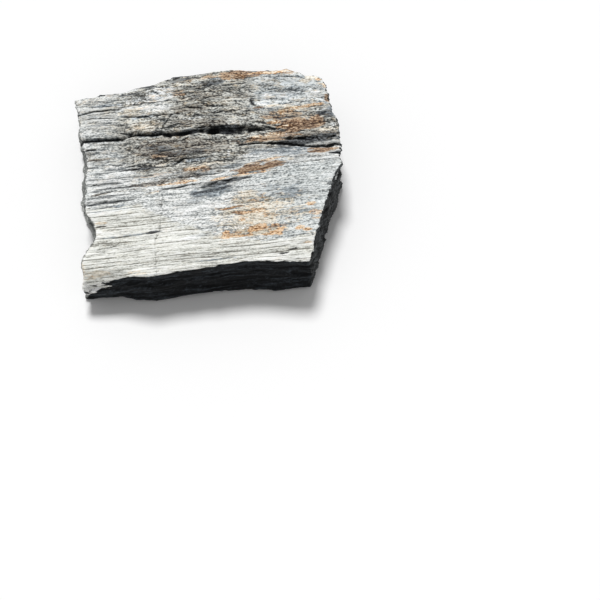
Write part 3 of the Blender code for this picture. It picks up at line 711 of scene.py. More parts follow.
@dataclass
class WoodChunk:
    """The chunk of petrified wood.

    Attributes:
        node: The name of the solid that it stands for.
        weld: Points of the solid that are closer than this are one point.
        squeeze: The form is squeezed this much along the grain while it is cut into even cells,
            so that the cells end up longer along the grain than across it.
        cell: The cells' size across the grain.
        soften_rounds: How many times the solid's facets are evened out.
        plan: How the grain runs.
        marks: The small splits and layer ends.
        shading: The rounds of averaging after which a point counts as lying in a fine groove, in a
        dip or in a deep hollow. The finish paints shade into these, and light onto proud points.
    """

    node: str = NODE
    weld: float = 0.005
    squeeze: float = 0.42
    cell: float = 0.58
    soften_rounds: int = 5
    plan: GrainPlan = field(default_factory=GrainPlan)
    marks: RandomMarks = field(default_factory=RandomMarks)
    shading: dict[str, int] = field(default_factory=lambda: {"groove": 2, "dip": 7, "hollow": 18})

    def even_form(self) -> bpy.types.Object:
        """The solid's form, cut into even cells and joined to the scene.

        Returns:
            The new object, in the frame's own place.
        """
        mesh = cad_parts[self.node].data.copy()
        mesh.name = PIECE
        mesh.materials.clear()
        work = bmesh.new()
        work.from_mesh(mesh)
        bmesh.ops.remove_doubles(work, verts=work.verts, dist=self.weld * MM)
        work.to_mesh(mesh)
        work.free()
        mesh.transform(Matrix.Diagonal((self.squeeze, 1, 1, 1)))
        piece = bpy.data.objects.new(PIECE, mesh)
        bpy.context.scene.collection.objects.link(piece)
        remesh = piece.modifiers.new("even cells", "REMESH")
        remesh.mode = "VOXEL"
        remesh.voxel_size = self.cell * MM
        bpy.context.view_layer.update()
        evaluated = piece.evaluated_get(bpy.context.evaluated_depsgraph_get())
        even = bpy.data.meshes.new_from_object(evaluated)
        piece.modifiers.clear()
        piece.data = even
        even.name = PIECE
        bpy.data.meshes.remove(mesh)
        even.transform(Matrix.Diagonal((1 / self.squeeze, 1, 1, 1)))
        return piece

    def surface(self, mesh: bpy.types.Mesh) -> Surface:
        """The mesh's points as arrays, with the solid's facets evened out and its wide cracks closed.

        Args:
            mesh: The even form's mesh.

        Returns:
            The surface, before any relief.
        """
        points = np.empty(3 * len(mesh.vertices))
        mesh.vertices.foreach_get("co", points)
        edges = np.empty(2 * len(mesh.edges), dtype=np.int64)
        mesh.edges.foreach_get("vertices", edges)
        surface = Surface(points.reshape(-1, 3) / MM, np.zeros((len(mesh.vertices), 3)), edges.reshape(-1, 2))
        lying = surface.points[:, 2] < surface.points[:, 2].min() + ON_FLOOR
        surface.points = surface.averaged(self.soften_rounds)
        surface.points[lying, 2] = 0.0
        surface.normals = self.placed(mesh, surface.points)
        normal_x, _, normal_z = surface.normals.T
        on_face = smooth(0.6, 0.4, np.abs(normal_x)) * smooth(-0.1, 0.1, normal_z)
        on_face *= smooth(16, 19, surface.points[:, 2])
        for crack in WIDE_CRACKS:
            surface.points[:, 2] += crack.filling(self.on_plan(surface.points), on_face)
        surface.normals = self.placed(mesh, surface.points)
        return surface

    def placed(self, mesh: bpy.types.Mesh, points: np.ndarray) -> np.ndarray:
        """Moves a mesh's points.

        Args:
            mesh: The mesh.
            points: Where its points go.

        Returns:
            The normals that it then has.
        """
        mesh.vertices.foreach_set("co", (points * MM).ravel())
        mesh.update()
        normals = np.empty(3 * len(mesh.vertices))
        mesh.vertices.foreach_get("normal", normals)
        return normals.reshape(-1, 3)

    def on_plan(self, points: np.ndarray) -> np.ndarray:
        """Points of the frame, as places on the face's plan."""
        return points - np.array([*PLAN_ORIGIN, 0.0])

    def zones(self, surface: Surface) -> Zones:
        """What kind of surface there is at each point.

        Args:
            surface: The surface before its relief.

        Returns:
            Shares from 0 to 1: skin, the weathered face; cream, its evenly grooved front part;
            rough, where its layers are broken; coarse, where it is broken across the grain; rim, its
            edge; corner, the broken corner; end, side, across and under, the broken faces round it;
            lying, what stands on the floor.
        """
        x, y, z = self.on_plan(surface.points).T
        normal_x, normal_y, normal_z = surface.normals.T
        edge_noise = StoneNoise(31).waves(surface.points, (7, 5, 3))

        # The broken corner is at the front left. It reaches down to this height at each X.
        lowest = np.interp(x, (-76, -71, -65, -57, -50, -42), (8, 12, 18, 24, 29, 60)) + 0.8 * edge_noise
        corner = smooth(-0.8, 0.8, z - lowest) * smooth(-44, -50, y) * smooth(0.2, -0.3, normal_x)

        # The face looks up. It ends some way below its own plane, sooner at the back.
        below = z - self.plan.face_height - self.plan.face_slope * x
        upward = normal_z + 0.06 * edge_noise + 0.3 * smooth(0.1, 0.5, normal_y) * smooth(-4, -2, below)
        face = smooth(0.42, 0.62, upward) * smooth(-1.5, 0, below - np.interp(y, (36, 46), (-8, -3.5)))

        # The evenly grooved part lies in front of this line.
        cream_line = np.interp(x, (-75, -40, -22, 0, 20, 50), (-11, -12, -24, -37, -42, -43))
        cream = smooth(2.5, -2.5, y - cream_line - 2.5 * edge_noise)

        # Broken across the grain: the back right, and less so the right part before the middle.
        coarse = smooth(14, 34, x) * smooth(30, 44, y)
        coarse += 0.8 * smooth(8, 30, x) * smooth(8, 0, y) * (1 - cream)

        # Broken layers: all behind the middle, but less to the left, at its right and on one plate.
        rough = smooth(-6, 16, y) * (1 - (0.54 + 0.14 * smooth(24, 12, y)) * smooth(-30, -60, x))
        rough *= 1 - 0.6 * smooth(12, 30, x) * smooth(18, 13, y)
        rough *= 1 - 0.6 * smooth(1.3, 0.8, np.hypot((x + 34) / 17, (y - 48.5) / 3.8))

        beyond = 1 - face
        return {
            "skin": np.maximum(face, corner * (normal_z > -0.2)),
            "cream": cream,
            "rough": rough,
            "coarse": np.clip(coarse, 0, 1),
            "corner": corner * beyond,
            # The right end takes little of the grey end stone, so that it stays dark: painted shade.
            "end": smooth(0.35, 0.7, np.abs(normal_x)) * beyond * np.where(normal_x < 0, 1.0, 0.12),
            "side": smooth(0.35, 0.7, np.abs(normal_y)) * beyond,
            "across": np.abs(normal_x) * beyond,
            "rim": smooth(0.93, 0.8, normal_z) * smooth(0.3, 0.5, normal_z) * smooth(-9.5, -8, below),
            "under": smooth(-0.5, -0.8, normal_z),
            "lying": (z < ON_FLOOR) * 1.0,
        }

    def plates(self, fibre: np.ndarray) -> tuple[np.ndarray, np.ndarray]:
        """The small flat plates that the rough part breaks into.

        Args:
            fibre: Places along and across the grain.

        Returns:
            Each point's height in steps of one plate, and a value from -1 to 1 for the plate it is on.
        """
        lumps = waves(fibre, (3.2, 47, (17, 4.4, 1)), (1.1, 48, (5, 1.8, 1)), (0.5, 49, (2.4, 1.1, 1)))
        step = np.floor(lumps)
        return step, StoneNoise(50).bundles(flat(step, 0 * step), (1, 1, 1))

    def splits(self, places: np.ndarray, across: np.ndarray, rough: np.ndarray) -> tuple[np.ndarray, ...]:
        """The splits of the face: the small ones, and over them those that have places of their own.

        Args:
            places, across: Places on the plan, and across the grain.
            rough: How broken the face is at each place.

        Returns:
            The same as the small splits give, for all of them.
        """
        x, y, _ = places.T
        depth, gap, opening = self.marks.small_splits(x, across, rough)
        straying = flat(x, y)
        jitter = waves(straying, (0.4, 33, (6, 9, 1)), (0.25, 34, (2.2, 5, 1)))
        strength = np.clip(0.8 + 1.3 * StoneNoise(35).waves(straying, (5, 9, 1)), 0.05, 1.2)
        for split in itertools.starmap(Split, SPLITS):
            offset, ends = split.beside(x, y + jitter)
            whole = 1 + split.broken * (strength - 1)
            depth += split.depth * ends * np.exp(-(offset**2)) * whole
            closer = (np.abs(offset) < np.abs(gap)) | ((np.abs(offset) < 1.5) & (ends > 0))
            gap = np.where(closer, offset, gap)
            opening = np.where(closer, min(1.0, 0.1 + 0.6 * split.depth) * ends * whole, opening)
        return depth, gap, opening * smooth(4.5, 2.5, np.abs(gap))

    def face_relief(self, places: np.ndarray, across: np.ndarray, zone: Zones) -> np.ndarray:
        """Relief of the weathered face.

        Args:
            places, across: Places on the plan, and across the grain.
            zone: What carve() knows at each point.

        Returns:
            How far each point stands out from the even form.
        """
        x, y, _ = places.T
        fibre = flat(x, across)
        rough, coarse, cream, growth = zone["rough"], zone["coarse"], zone["cream"], zone["growth"]

        # A groove along each dark line, with gaps.
        line = np.abs(growth - np.round(growth)) * self.plan.layer
        unbroken = smooth(-0.25, 0.35, StoneNoise(41).waves(fibre, (13, 2.9, 1)))
        height = -0.26 * np.exp(-((line / 0.4) ** 2)) * (0.15 + 0.85 * unbroken) * (0.3 + 0.7 * cream)

        # Ridges and fibres along the grain, from broad to fine.
        height += 0.17 * rough * StoneNoise(42).ridges(fibre, (34, 3.8, 1))
        height += (0.06 + 0.12 * rough) * StoneNoise(43).waves(fibre, (17, 1.5, 1))
        height += (0.05 + 0.05 * rough) * StoneNoise(44).waves(fibre, (5.2, 1.05, 1))

        # Lumps and grit where the stone is coarse, and the plates where it is rough.
        height += coarse * 0.22 * StoneNoise(45).waves(places, (3.6, 2.4, 3))
        height += (0.03 + 0.1 * coarse) * StoneNoise(46).waves(places, (1.9, 1.3, 2))
        height += 0.22 * zone["plates"] * (0.15 + 0.85 * rough)

        # The rim is chipped, apart from its stretch by the broken corner.
        chipped = waves(places, (1, 36, (5, 2.4, 4)), (0.6, 37, (2.2, 1.4, 2)))
        whole = 0.8 * smooth(-44, -50, x) * smooth(-46, -52, y)
        height -= zone["rim"] * (1.5 * np.maximum(0, chipped) + 0.1) * (1 - whole)
        return height + self.marks.layer_ends(x, across, rough) - zone["depth"]

    def broken_relief(self, places: np.ndarray, across: np.ndarray, zone: Zones) -> np.ndarray:
        """Relief of the broken ends, the parted long sides, the broken corner and the underside.

        Args:
            places, across: Places on the plan, and across the grain.
            zone: What carve() knows at each point.

        Returns:
            How far each point stands out from the even form.
        """
        x, _, z = places.T
        nothing = 0 * x
        grit = waves(places, (0.16, 59, (1.8, 1.5, 1.5)), (0.22, 60, (4.5, 3, 3)))

        # The long sides part in layers along the grain.
        layered = np.stack([x, nothing, z + 0.25 * across], 1)
        bent = layered + 1.2 * StoneNoise(54).waves(places, (8, 8, 3))[:, None]
        side = 0.75 * StoneNoise(51).ridges(layered, (36, 1, 4.6)) - 0.35
        side += 0.5 * StoneNoise(52).waves(layered, (15, 1, 2.0))
        side += 0.35 * StoneNoise(53).bundles(bent, (19, 1, 3.1))

        # The ends show bundles of fibres, broken off at different lengths.
        section = np.stack([nothing, across + 1.1 * StoneNoise(55).waves(places, (9, 4, 4)), z], 1)
        end = 0.55 * StoneNoise(56).bundles(section, (1, 2.9, 4.4))
        end += 0.7 * StoneNoise(57).waves(section, (1, 5, 6))
        end += 0.45 * StoneNoise(58).ridges(section, (1, 1.9, 7)) - 0.2

        # The broken corner goes down in steps, and the underside has shallow hollows.
        steps = StoneNoise(62).bundles(np.stack([x, nothing, z - 0.06 * x + 0.5 * grit], 1), (9, 1, 2.6))
        under = -0.35 * (1 + StoneNoise(61).waves(places, (20, 3.2, 8))) * smooth(0, 1.2, z)

        lower = side * zone["side"] + end * smooth(0.35, 0.7, zone["across"]) + grit
        lower = lower * (1 - zone["corner"]) + zone["corner"] * (1.05 * steps + 0.5 * grit)
        return lower * (1 - zone["under"]) + under * zone["under"]

    def carve(self, piece: bpy.types.Object) -> None:
        """Gives the even form its relief, and keeps what its finish needs at each point.

        Args:
            piece: The even form's object.
        """
        surface = self.surface(piece.data)
        zone = self.zones(surface)
        places = self.on_plan(surface.points)
        across = self.plan.across(places)
        zone["growth"] = self.plan.growth(places, across, zone["corner"])
        across = self.plan.wavering(places[:, 0], across, zone["rough"] * (1 - zone["cream"]))
        zone["plates"], zone["plate"] = self.plates(flat(places[:, 0], across))
        zone["depth"], zone["gap"], zone["opening"] = self.splits(places, across, zone["rough"])
        upper = zone["skin"] * (1 - zone["corner"])
        height = self.face_relief(places, across, zone) * upper
        height += self.broken_relief(places, across, zone) * (1 - upper)
        height *= 1 - zone["lying"]
        surface.points = surface.points + surface.normals * height[:, None]
        surface.points[:, 2] = np.maximum(surface.points[:, 2], 0.0)
        self.placed(piece.data, surface.points)
        piece.data.shade_smooth()
        self.keep(piece.data, surface, zone, places, across)

    def keep(
        self, mesh: bpy.types.Mesh, surface: Surface, zone: Zones, places: np.ndarray, across: np.ndarray
    ) -> None:
        """Stores at each point what the finish reads.

        Args:
            mesh: The carved mesh.
            surface: Its points, with their relief.
            zone: What carve() knows at each point.
            places: The points' places on the plan before the relief.
            across: Their places across the grain.
        """
        x, y, z = places.T
        kept = ("skin", "cream", "rough", "coarse", "corner", "end", "plate", "gap", "opening", "growth")
        values = {name: zone[name] for name in kept}
        values |= {name: surface.hollowness(rounds) for name, rounds in self.shading.items()}
        fibre = flat(x, across)
        straying = waves(fibre, (0.8, 71, (6.5, 2.2, 1)), (0.7, 72, (2.6, 1.2, 1)))
        for kind, rows in STAINS.items():
            stains = itertools.starmap(Stain, rows)
            values[kind.value] = np.max([stain.share(x, y, straying) for stain in stains], axis=0)
        for name, value in values.items():
            attribute = mesh.attributes.new(name, "FLOAT", "POINT")
            attribute.data.foreach_set("value", value.astype(np.float32))
        attribute = mesh.attributes.new("fibre", "FLOAT_VECTOR", "POINT")
        attribute.data.foreach_set("vector", np.stack([x, across, z], 1).astype(np.float32).ravel())

    def build(self) -> bpy.types.Object:
        """The finished chunk, which rides on the frame and stands for its solid.

        Returns:
            The chunk's object.
        """
        piece = self.even_form()
        self.carve(piece)
        piece.data.materials.append(PetrifiedWood().material())
        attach(piece, "root")
        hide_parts(self.node)
        return piece


# ---------------------------------------------------------------- shader nodes


class Signal:
    """A shader socket that takes part in Python arithmetic, each step a Math node."""

    def __init__(self, bench: "Bench", socket: bpy.types.NodeSocket) -> None:
        """Wraps a socket of a bench's tree."""
        self.bench = bench
        self.socket = socket

    def _math(self, operation: str, *values: "Signal | float") -> "Signal":
        """A Math node on these values."""
        return self.bench.add("ShaderNodeMath", {"operation": operation}, dict(enumerate(values)))

    def __add__(self, other: "Signal | float") -> "Signal":
        """This plus another."""
        return self._math("ADD", self, other)

    __radd__ = __add__

    def __mul__(self, other: "Signal | float") -> "Signal":
        """This times another."""
        return self._math("MULTIPLY", self, other)

    __rmul__ = __mul__

    def __sub__(self, other: "Signal | float") -> "Signal":
        """This less another."""
        return self._math("SUBTRACT", self, other)

    def __rsub__(self, other: float) -> "Signal":
        """A number less this."""
        return self._math("SUBTRACT", other, self)

    def clipped(self) -> "Signal":
        """This, kept between 0 and 1."""
        return self.bench.add("ShaderNodeClamp", {}, {"Value": self})

    def rise(self, low: float, high: float) -> "Signal":
        """A smooth slope over this.

        Args:
            low: Where the slope is 0.
            high: Where it is 1, above or below low.

        Returns:
            The slope.
        """
        start, end = (0.0, 1.0) if low < high else (1.0, 0.0)
        values = {"Value": self, 1: min(low, high), 2: max(low, high), 3: start, 4: end}
        return self.bench.add("ShaderNodeMapRange", {"interpolation_type": "SMOOTHSTEP"}, values)

    def size(self) -> "Signal":
        """This without its sign."""
        return self._math("ABSOLUTE", self)

    def distance_to_whole(self) -> "Signal":
        """How far this is from the nearest whole number, from 0 to 0.5."""
        return self._math("PINGPONG", self, 0.5)


class Bench:
    """A material's node tree, and short ways to add to it."""

    def __init__(self, name: str) -> None:
        """Starts a material with one Principled shader.

        Args:
            name: The material's name.
        """
        self.material = bpy.data.materials.new(name)
        self.material.use_nodes = True
        self.tree = self.material.node_tree
        self.shader = self.tree.nodes["Principled BSDF"]

    def fill(self, node: bpy.types.Node, values: dict) -> None:
        """Links or sets a node's sockets.

        Args:
            node: The node.
            values: Signals or plain values for its sockets, by name or number.
        """
        for key, value in values.items():
            target = node.inputs[key]
            if isinstance(value, Signal):
                self.tree.links.new(value.socket, target)
            elif isinstance(value, tuple) and target.type == "RGBA":
                target.default_value = (*value, 1.0)
            else:
                target.default_value = value

    def finished(self, values: dict) -> bpy.types.Material:
        """The material, with these signals or plain values for its shader's sockets."""
        self.fill(self.shader, values)
        return self.material

    def add(self, kind: str, settings: dict, values: dict, output: int | str = 0) -> Signal:
        """Adds a node of any kind.

        Args:
            kind: The node's type.
            settings: Its settings, which are set first.
            values: Signals or plain values for its sockets, by name or number.
            output: Which of its outputs is wanted.

        Returns:
            That output.
        """
        node = self.tree.nodes.new(kind)
        for name, setting in settings.items():
            setattr(node, name, setting)
        self.fill(node, values)
        return Signal(self, node.outputs[output])

    def kept(self, name: str, output: str = "Fac") -> Signal:
        """What the mesh keeps at each point: a value, or a place with the output Vector."""
        return self.add("ShaderNodeAttribute", {"attribute_name": name}, {}, output)

    def mix(
        self, share: "Signal | float", first: "Signal | Colour", second: "Signal | Colour", blend: str = "MIX"
    ) -> Signal:
        """The first colour with the second's share mixed in. The blend says how it lies on the first."""
        settings = {"data_type": "RGBA", "blend_type": blend, "clamp_factor": True}
        return self.add("ShaderNodeMix", settings, {0: share, 6: first, 7: second}, 2)


class GrainBench(Bench):
    """A bench for the stone, with what its look is mixed from.

    Attributes:
        fibre: Places along the grain, across it and upwards.
        cream, rough, coarse, corner: The kinds of surface, from 0 to 1.
        bands, blotch, fibres, hairs, grit: Noise round 0, from the broadest to the finest.
    """

    def __init__(self, name: str) -> None:
        """Starts a material with one Principled shader, and adds what its look is mixed from.

        Args:
            name: The material's name.
        """
        super().__init__(name)
        self.fibre = self.kept("fibre", "Vector")
        self.cream, self.rough = self.kept("cream"), self.kept("rough")
        self.coarse, self.corner = self.kept("coarse"), self.kept("corner")
        self.bands = self.swing((70, 4.6, 8), 2)
        self.blotch = self.swing((13, 6, 6), 4, 0.6)
        self.hairs = self.swing((9, 0.7, 1.6), 2, 0.6)
        self.grit = self.swing((1.35, 0.63, 0.7), 2, 0.6)
        fibres = self.swing((24, 1.5, 4), 3, 0.6)
        fibres = fibres + self.rough * (self.swing((11, 1.3, 2), 4, 0.62) - fibres)
        speckle = self.swing((1.9, 1.1, 1.4), 3, 0.65)
        self.fibres = fibres + 0.75 * self.coarse * (1.2 * speckle - fibres)

    def noise(self, sizes: Sizes, detail: float = 3.0, rough: float = 0.55) -> Signal:
        """Noise from about 0.2 to 0.8.

        Args:
            sizes: How large its lumps are along the grain, across it and upwards.
            detail: How many times finer noise is added to it.
            rough: How strong the finer noise is.

        Returns:
            The noise.
        """
        scale = tuple(1 / size for size in sizes)
        vector = self.add("ShaderNodeVectorMath", {"operation": "MULTIPLY"}, {0: self.fibre, 1: scale})
        values = {"Vector": vector, "Scale": 1.0, "Detail": detail, "Roughness": rough}
        return self.add("ShaderNodeTexNoise", {}, values)

    def swing(self, sizes: Sizes, detail: float = 3.0, rough: float = 0.55) -> Signal:
        """The same noise, but round 0."""
        return self.noise(sizes, detail, rough) - 0.5


# ---------------------------------------------------------------- finishes


@dataclass(frozen=True)
class Palette:
    """One kind of stone: its colour in its dark fibres, between them and in its light fibres."""

    dark: Colour
    middle: Colour
    light: Colour


class Layers:
    """Kinds of stone laid over one another, each with its own dark, middle and light colour."""

    def __init__(self, bench: Bench, base: Palette) -> None:
        """Starts with one kind of stone all over."""
        self.bench = bench
        self.colours: list[Signal | Colour] = [base.dark, base.middle, base.light]

    def lay(self, share: Signal, palette: Palette) -> None:
        """Lays another kind of stone over these, as much of it as the share says."""
        over = (palette.dark, palette.middle, palette.light)
        self.colours = [self.bench.mix(share, low, high) for low, high in zip(self.colours, over)]

    def at(self, tone: Signal) -> Signal:
        """The colour at each tone.

        Args:
            tone: From 0, all dark, through 0.5 to 1, all light.

        Returns:
            The colour.
        """
        dark, middle, light = self.colours
        lower = self.bench.mix((tone * 2.0).clipped(), dark, middle)
        return self.bench.mix((tone * 2.0 - 1.0).clipped(), lower, light)


@dataclass(frozen=True)
class PetrifiedWood:
    """The stone's finish: a weathered skin on the split face, and dark stone where it is broken.

    Attributes:
        cream, pale, grey, rough: The skin's kinds of stone, by where on the face they lie.
        slate, umber, tan, chalk, ginger, rust, shade: What each kind of stain turns the skin into; shade is
        partly painted shade in cracks, hollows and under ledges.
        core_and_shade: The dark stone of the long sides and the underside, made darker still as painted
            shade.
        end: The greyer stone of the broken ends; the right end takes little of it and stays dark as painted
            shade.
        crack_shade_colour, crack_shade_share: Painted shade at the bottom of the cracks and in deep hollows,
            and how fully it hides the stone.
        stain_share: How fully a stain hides the stone under it.
        warm, cool: What the small changes of hue lean to.
        roughness, shine: How matt the stone is, and how strongly it reflects.
        bump, bump_height: How strong the fine relief is, and how high.
    """

    cream: Palette = Palette(tint(126, 124, 116), tint(227, 228, 221), tint(254, 254, 251))
    pale: Palette = Palette(tint(122, 126, 127), tint(214, 217, 215), tint(253, 254, 253))
    grey: Palette = Palette(tint(92, 98, 101), tint(207, 212, 211), tint(247, 250, 250))
    rough: Palette = Palette(tint(60, 61, 60), tint(147, 147, 142), tint(222, 222, 215))
    slate: Palette = Palette(tint(60, 68, 76), tint(134, 144, 151), tint(206, 213, 217))
    umber: Palette = Palette(tint(42, 39, 37), tint(112, 106, 99), tint(184, 180, 170))
    tan: Palette = Palette(tint(132, 122, 104), tint(220, 211, 192), tint(251, 246, 235))
    chalk: Palette = Palette(tint(152, 157, 159), tint(231, 234, 232), tint(255, 255, 255))
    ginger: Palette = Palette(tint(72, 50, 38), tint(144, 112, 86), tint(204, 178, 148))
    rust: Palette = Palette(tint(116, 78, 48), tint(229, 186, 140), tint(255, 246, 226))
    shade: Palette = Palette(tint(14, 15, 17), tint(50, 53, 57), tint(122, 127, 131))
    # Partly the dark stone's own colour and partly painted shade, darker than the stone is.
    core_and_shade: Palette = Palette(tint(7, 8, 9), tint(18, 20, 22), tint(62, 68, 74))
    end: Palette = Palette(tint(44, 46, 47), tint(126, 128, 126), tint(206, 208, 204))
    # Painted shade for the bottoms of the cracks and the deep hollows.
    crack_shade_colour: Colour = tint(24, 27, 31)
    crack_shade_share: float = 0.88
    stain_share: float = 0.92
    warm: Colour = tint(226, 196, 152)
    cool: Colour = tint(176, 192, 208)
    roughness: float = 0.9
    shine: float = 0.25
    bump: float = 0.85
    bump_height: float = 0.6

    def stones(self, bench: GrainBench) -> tuple[Layers, Signal]:
        """The kinds of stone of the weathered face, and its stains.

        Args:
            bench: Where the nodes go.

        Returns:
            The layers of stone, and a value that is largest along the edges of the rust.
        """
        cream, rough, coarse, blotch = bench.cream, bench.rough, bench.coarse, bench.blotch
        fibres, hairs, grit = bench.fibres, bench.hairs, bench.grit
        layers = Layers(bench, self.pale)
        torn = 1.6 * blotch + 2.2 * fibres + 0.8 * grit
        layers.lay((2.0 * coarse - 1.0 + torn).rise(-0.3, 0.4), self.grey)
        layers.lay((2.0 * rough - 1.3 * rough * coarse - 1.0 + torn).rise(-0.3, 0.4), self.rough)
        layers.lay((2.0 * cream - 1.0 - torn).rise(-0.4, 0.5), self.cream)

        # Each stain with the noise that breaks it up, from the lowest to the uppermost.
        stains = {
            Tint.SLATE: (self.slate, 2.4 * fibres + 2.4 * grit + 1.4 * blotch),
            Tint.UMBER: (self.umber, 1.6 * blotch + 2.2 * fibres),
            Tint.TAN: (self.tan, 1.8 * hairs + 1.8 * grit + 2.0 * blotch),
            Tint.CHALK: (self.chalk, 1.2 * fibres + 1.6 * grit + 1.0 * blotch),
            Tint.GINGER: (self.ginger, 1.4 * fibres + 1.0 * hairs + 1.2 * grit + 1.0 * blotch),
            Tint.RUST: (self.rust, 1.3 * hairs + 1.4 * grit + 1.6 * blotch),
            # The shade stain is partly painted shade in cracks, hollows and under ledges.
            Tint.SHADE: (self.shade, 2.4 * fibres + 2.6 * grit),
        }
        shares = {}
        for kind, (palette, broken) in stains.items():
            shares[kind] = (1.6 * bench.kept(kind.value) - 0.8 + broken).rise(-0.25, 0.4)
            layers.lay(self.stain_share * shares[kind], palette)

        # Small specks of rust where the face is tan.
        specks = bench.noise((2.6, 1.2, 1.4), 2, 0.6).rise(0.58, 0.66)
        layers.lay((0.85 - 0.6 * rough) * specks * bench.kept(Tint.TAN.value).clipped(), self.rust)
        return layers, shares[Tint.RUST] * (1 - shares[Tint.RUST])

    def lines(self, bench: GrainBench) -> tuple[Signal, Signal]:
        """The dark lines of the weathered face.

        Args:
            bench: Where the nodes go.

        Returns:
            The lines of the growth layers with the fainter ones between them, and the dark threads.
        """
        growth = bench.kept("growth")
        breaks = bench.noise((8, 1.8, 4), 3, 0.6)
        lines = growth.distance_to_whole().rise(0.11, 0.03) * breaks.rise(0.36, 0.46)
        lines = lines * (0.3 + 0.7 * bench.noise((34, 2.4, 8), 2).rise(0.42, 0.56))
        between = (growth + 0.43 + 0.5 * bench.bands).distance_to_whole().rise(0.09, 0.02)
        lines = lines + 0.6 * (between * breaks.rise(0.52, 0.42))
        threads = bench.swing((16, 2.2, 4), 3).size().rise(0.026, 0.008) * bench.blotch.rise(-0.06, 0.06)
        return lines, threads

    def skin(self, bench: GrainBench) -> tuple[Signal, Signal]:
        """Colour and fine relief of the weathered face.

        Args:
            bench: Where the nodes go.

        Returns:
            The colour, and a height for the bump.
        """
        cream, rough, coarse, corner = bench.cream, bench.rough, bench.coarse, bench.corner
        fibres, hairs, grit = bench.fibres, bench.hairs, bench.grit
        layers, edge = self.stones(bench)
        lines, threads = self.lines(bench)

        # How light the stone is: first the noise, then what darkens it. Fine grooves and dips are painted
        # darker and proud points lighter, as painted shade and light.
        tone = 1.4 * fibres + (0.7 + 0.2 * rough) * hairs + (2.4 - 1.0 * cream + 0.3 * rough) * grit
        tone = tone + 0.8 * bench.bands + (0.7 + 0.9 * rough) * bench.blotch
        contrast = 1.15 - 0.2 * cream + 0.2 * rough - 0.3 * coarse
        tone = 0.52 + contrast * tone + 0.13 * rough * bench.kept("plate")
        tone = tone - bench.kept("groove") * 0.9 - bench.kept("dip") * 0.45 - edge * 0.7
        tone = tone - lines * (0.25 + 0.5 * cream + 2.0 * corner) - threads * (0.1 + 0.35 * rough)
        flecks = bench.noise((3.2, 0.85, 1.2), 2, 0.6).rise(0.58, 0.66)
        # The broken corner is painted lighter: painted light for its sloping faces, which get less light.
        tone = tone + 0.02 + 0.42 * corner - flecks * (0.3 + 0.1 * coarse - 0.18 * cream - 0.12 * rough)

        hue = bench.noise((5, 1.6, 1.6), 3, 0.6)
        colour = layers.at(tone)
        colour = bench.mix(hue.rise(0.52, 0.72) * (0.15 + 0.45 * rough), colour, self.warm, "MULTIPLY")
        colour = bench.mix(hue.rise(0.46, 0.28) * (0.1 + 0.4 * rough), colour, self.cool, "MULTIPLY")
        height = fibres * 0.7 + hairs * 0.6 + grit * 0.55 - lines * 0.25 - threads * 0.35
        return colour, height

    def broken(self, bench: GrainBench) -> tuple[Signal, Signal]:
        """Colour and fine relief of the dark broken stone.

        Args:
            bench: Where the nodes go.

        Returns:
            The colour, and a height for the bump.
        """
        bedding = bench.noise((26, 3.2, 1.5), 4, 0.6)
        cloud = bench.noise((9, 6, 5), 3)
        grit = bench.noise((1.0, 0.9, 0.8), 3, 0.65)
        layers = Layers(bench, self.core_and_shade)
        layers.lay(bench.kept("end"), self.end)
        # Fine grooves are painted darker and proud points lighter: painted shade and light.
        tone = 0.5 + 1.3 * (bedding - 0.5) + 0.9 * (cloud - 0.5) + 1.0 * (grit - 0.5) - bench.kept("groove")
        return layers.at(tone), bedding * 0.6 + grit * 0.4

    def material(self) -> bpy.types.Material:
        """The whole finish: the skin over the broken stone, and painted shade in the splits and deep hollows
        over both.

        Returns:
            The material.
        """
        bench = GrainBench("petrified wood")
        skin_colour, skin_height = self.skin(bench)
        broken_colour, broken_height = self.broken(bench)
        skin = (bench.kept("skin") + 1.5 * bench.swing((3, 1.2, 1.2), 3)).rise(0.42, 0.58)
        # Painted shade: the open splits and the deep hollows are mixed towards the crack shade colour.
        split = (bench.kept("gap").size() + 1.3 * bench.swing((1.6, 0.8, 0.8), 2)).rise(1.15, 0.65)
        deep = (split * bench.kept("opening").clipped() + bench.kept("hollow").rise(1.4, 3.0)).clipped()
        stone = bench.mix(skin, broken_colour, skin_colour)
        colour = bench.mix(deep * self.crack_shade_share, stone, self.crack_shade_colour)
        height = skin * skin_height + (1 - skin) * broken_height
        values = {"Strength": self.bump, "Distance": self.bump_height * MM, "Height": height}
        normal = bench.add("ShaderNodeBump", {}, values)
        look = {"Roughness": self.roughness, "Specular IOR Level": self.shine}
        return bench.finished({"Base Color": colour, "Normal": normal, **look})


@dataclass(frozen=True)
class StudioPaper:
    """The floor's finish: plain pale paper."""

    colour: Colour = tint(246, 246, 246)
    roughness: float = 0.9

    def material(self) -> bpy.types.Material:
        """The paper as a material."""
        return Bench("studio paper").finished({"Base Color": self.colour, "Roughness": self.roughness})


# ---------------------------------------------------------------- the studio


def direction(azimuth: float, elevation: float) -> Vector:
    """The way to a place at these angles, in degrees: azimuth 0 is the front, 90 the right end."""
    turn, rise = math.radians(azimuth), math.radians(elevation)
    return Vector((math.sin(turn) * math.cos(rise), -math.cos(turn) * math.cos(rise), math.sin(rise)))


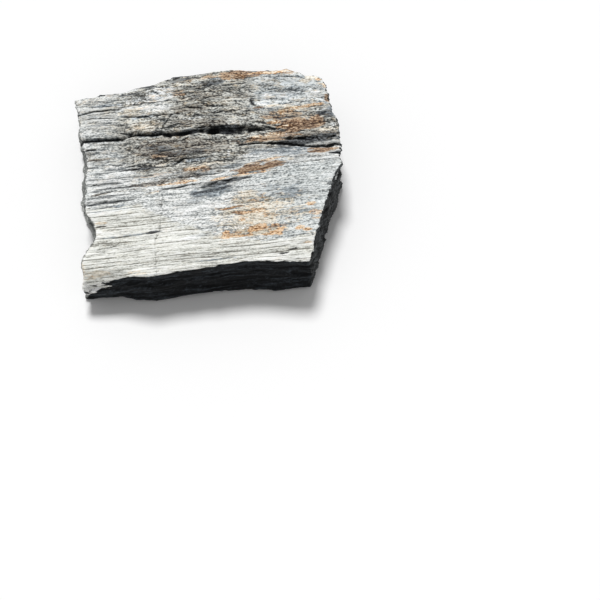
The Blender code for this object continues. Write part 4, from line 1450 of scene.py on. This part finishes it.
@dataclass
class Studio:
    """The floor, the light and the camera.

    Attributes:
        floor_side: The floor's side, in metres.
        key_elevation, key_azimuth: Where the key light comes from, in degrees. Azimuth 180 is behind.
        key_angle: How broad the key light is, in degrees.
        key_strength: Its strength.
        sky: How bright the light from all round is.
        target: The point on the floor that the camera looks at, on the plan.
        elevation, azimuth: The camera's height and turn round the target, in degrees.
        distance: How far the camera is from the target, in metres.
        lens: Its focal length.
    """

    floor_side: float = 6.0
    key_elevation: float = 62.0
    key_azimuth: float = 186.0
    key_angle: float = 16.0
    key_strength: float = 2.55
    sky: float = 0.38
    target: tuple[float, float] = (43.7, -66.0)
    elevation: float = 66.0
    azimuth: float = -5.7
    distance: float = 0.794
    lens: float = 85.0

    def floor(self) -> None:
        """A wide pale floor under the chunk."""
        bpy.ops.mesh.primitive_plane_add(size=self.floor_side)
        floor = bpy.context.object
        floor.name = "studio_floor"
        floor.data.materials.append(StudioPaper().material())

    def lights(self) -> None:
        """A soft lamp behind and above the chunk, and even light from all round."""
        lamp = bpy.data.lights.new("key", "SUN")
        lamp.angle = math.radians(self.key_angle)
        lamp.energy = self.key_strength
        key = bpy.data.objects.new("key", lamp)
        towards = direction(self.key_azimuth, self.key_elevation)
        key.rotation_euler = towards.to_track_quat("Z", "Y").to_euler()
        bpy.context.scene.collection.objects.link(key)
        world = bpy.data.worlds.new("studio")
        world.use_nodes = True
        background = world.node_tree.nodes["Background"].inputs
        background["Strength"].default_value = self.sky
        background["Color"].default_value = (1, 1, 1, 1)
        bpy.context.scene.world = world

    def camera(self) -> None:
        """The camera, looking down on the chunk from the front."""
        back = direction(self.azimuth, self.elevation)
        aim = Vector((self.target[0] + PLAN_ORIGIN[0], self.target[1] + PLAN_ORIGIN[1], 0)) * MM
        camera = bpy.data.objects.new("camera", bpy.data.cameras.new("camera"))
        camera.data.lens = self.lens
        camera.location = aim + self.distance * back
        camera.rotation_euler = (-back).to_track_quat("-Z", "Y").to_euler()
        bpy.context.scene.collection.objects.link(camera)
        bpy.context.scene.camera = camera

    def build(self) -> None:
        """Sets up the whole studio."""
        self.floor()
        self.lights()
        self.camera()
        bpy.context.scene.view_settings.view_transform = "Standard"


def main() -> None:
    """Builds the studio and the chunk, and logs how many faces the chunk has."""
    logging.basicConfig(level=logging.INFO, format="%(message)s")
    Studio().build()
    piece = WoodChunk().build()
    LOG.info("%s: %d faces", piece.name, len(piece.data.polygons))


if __name__ == "__main__":
    main()
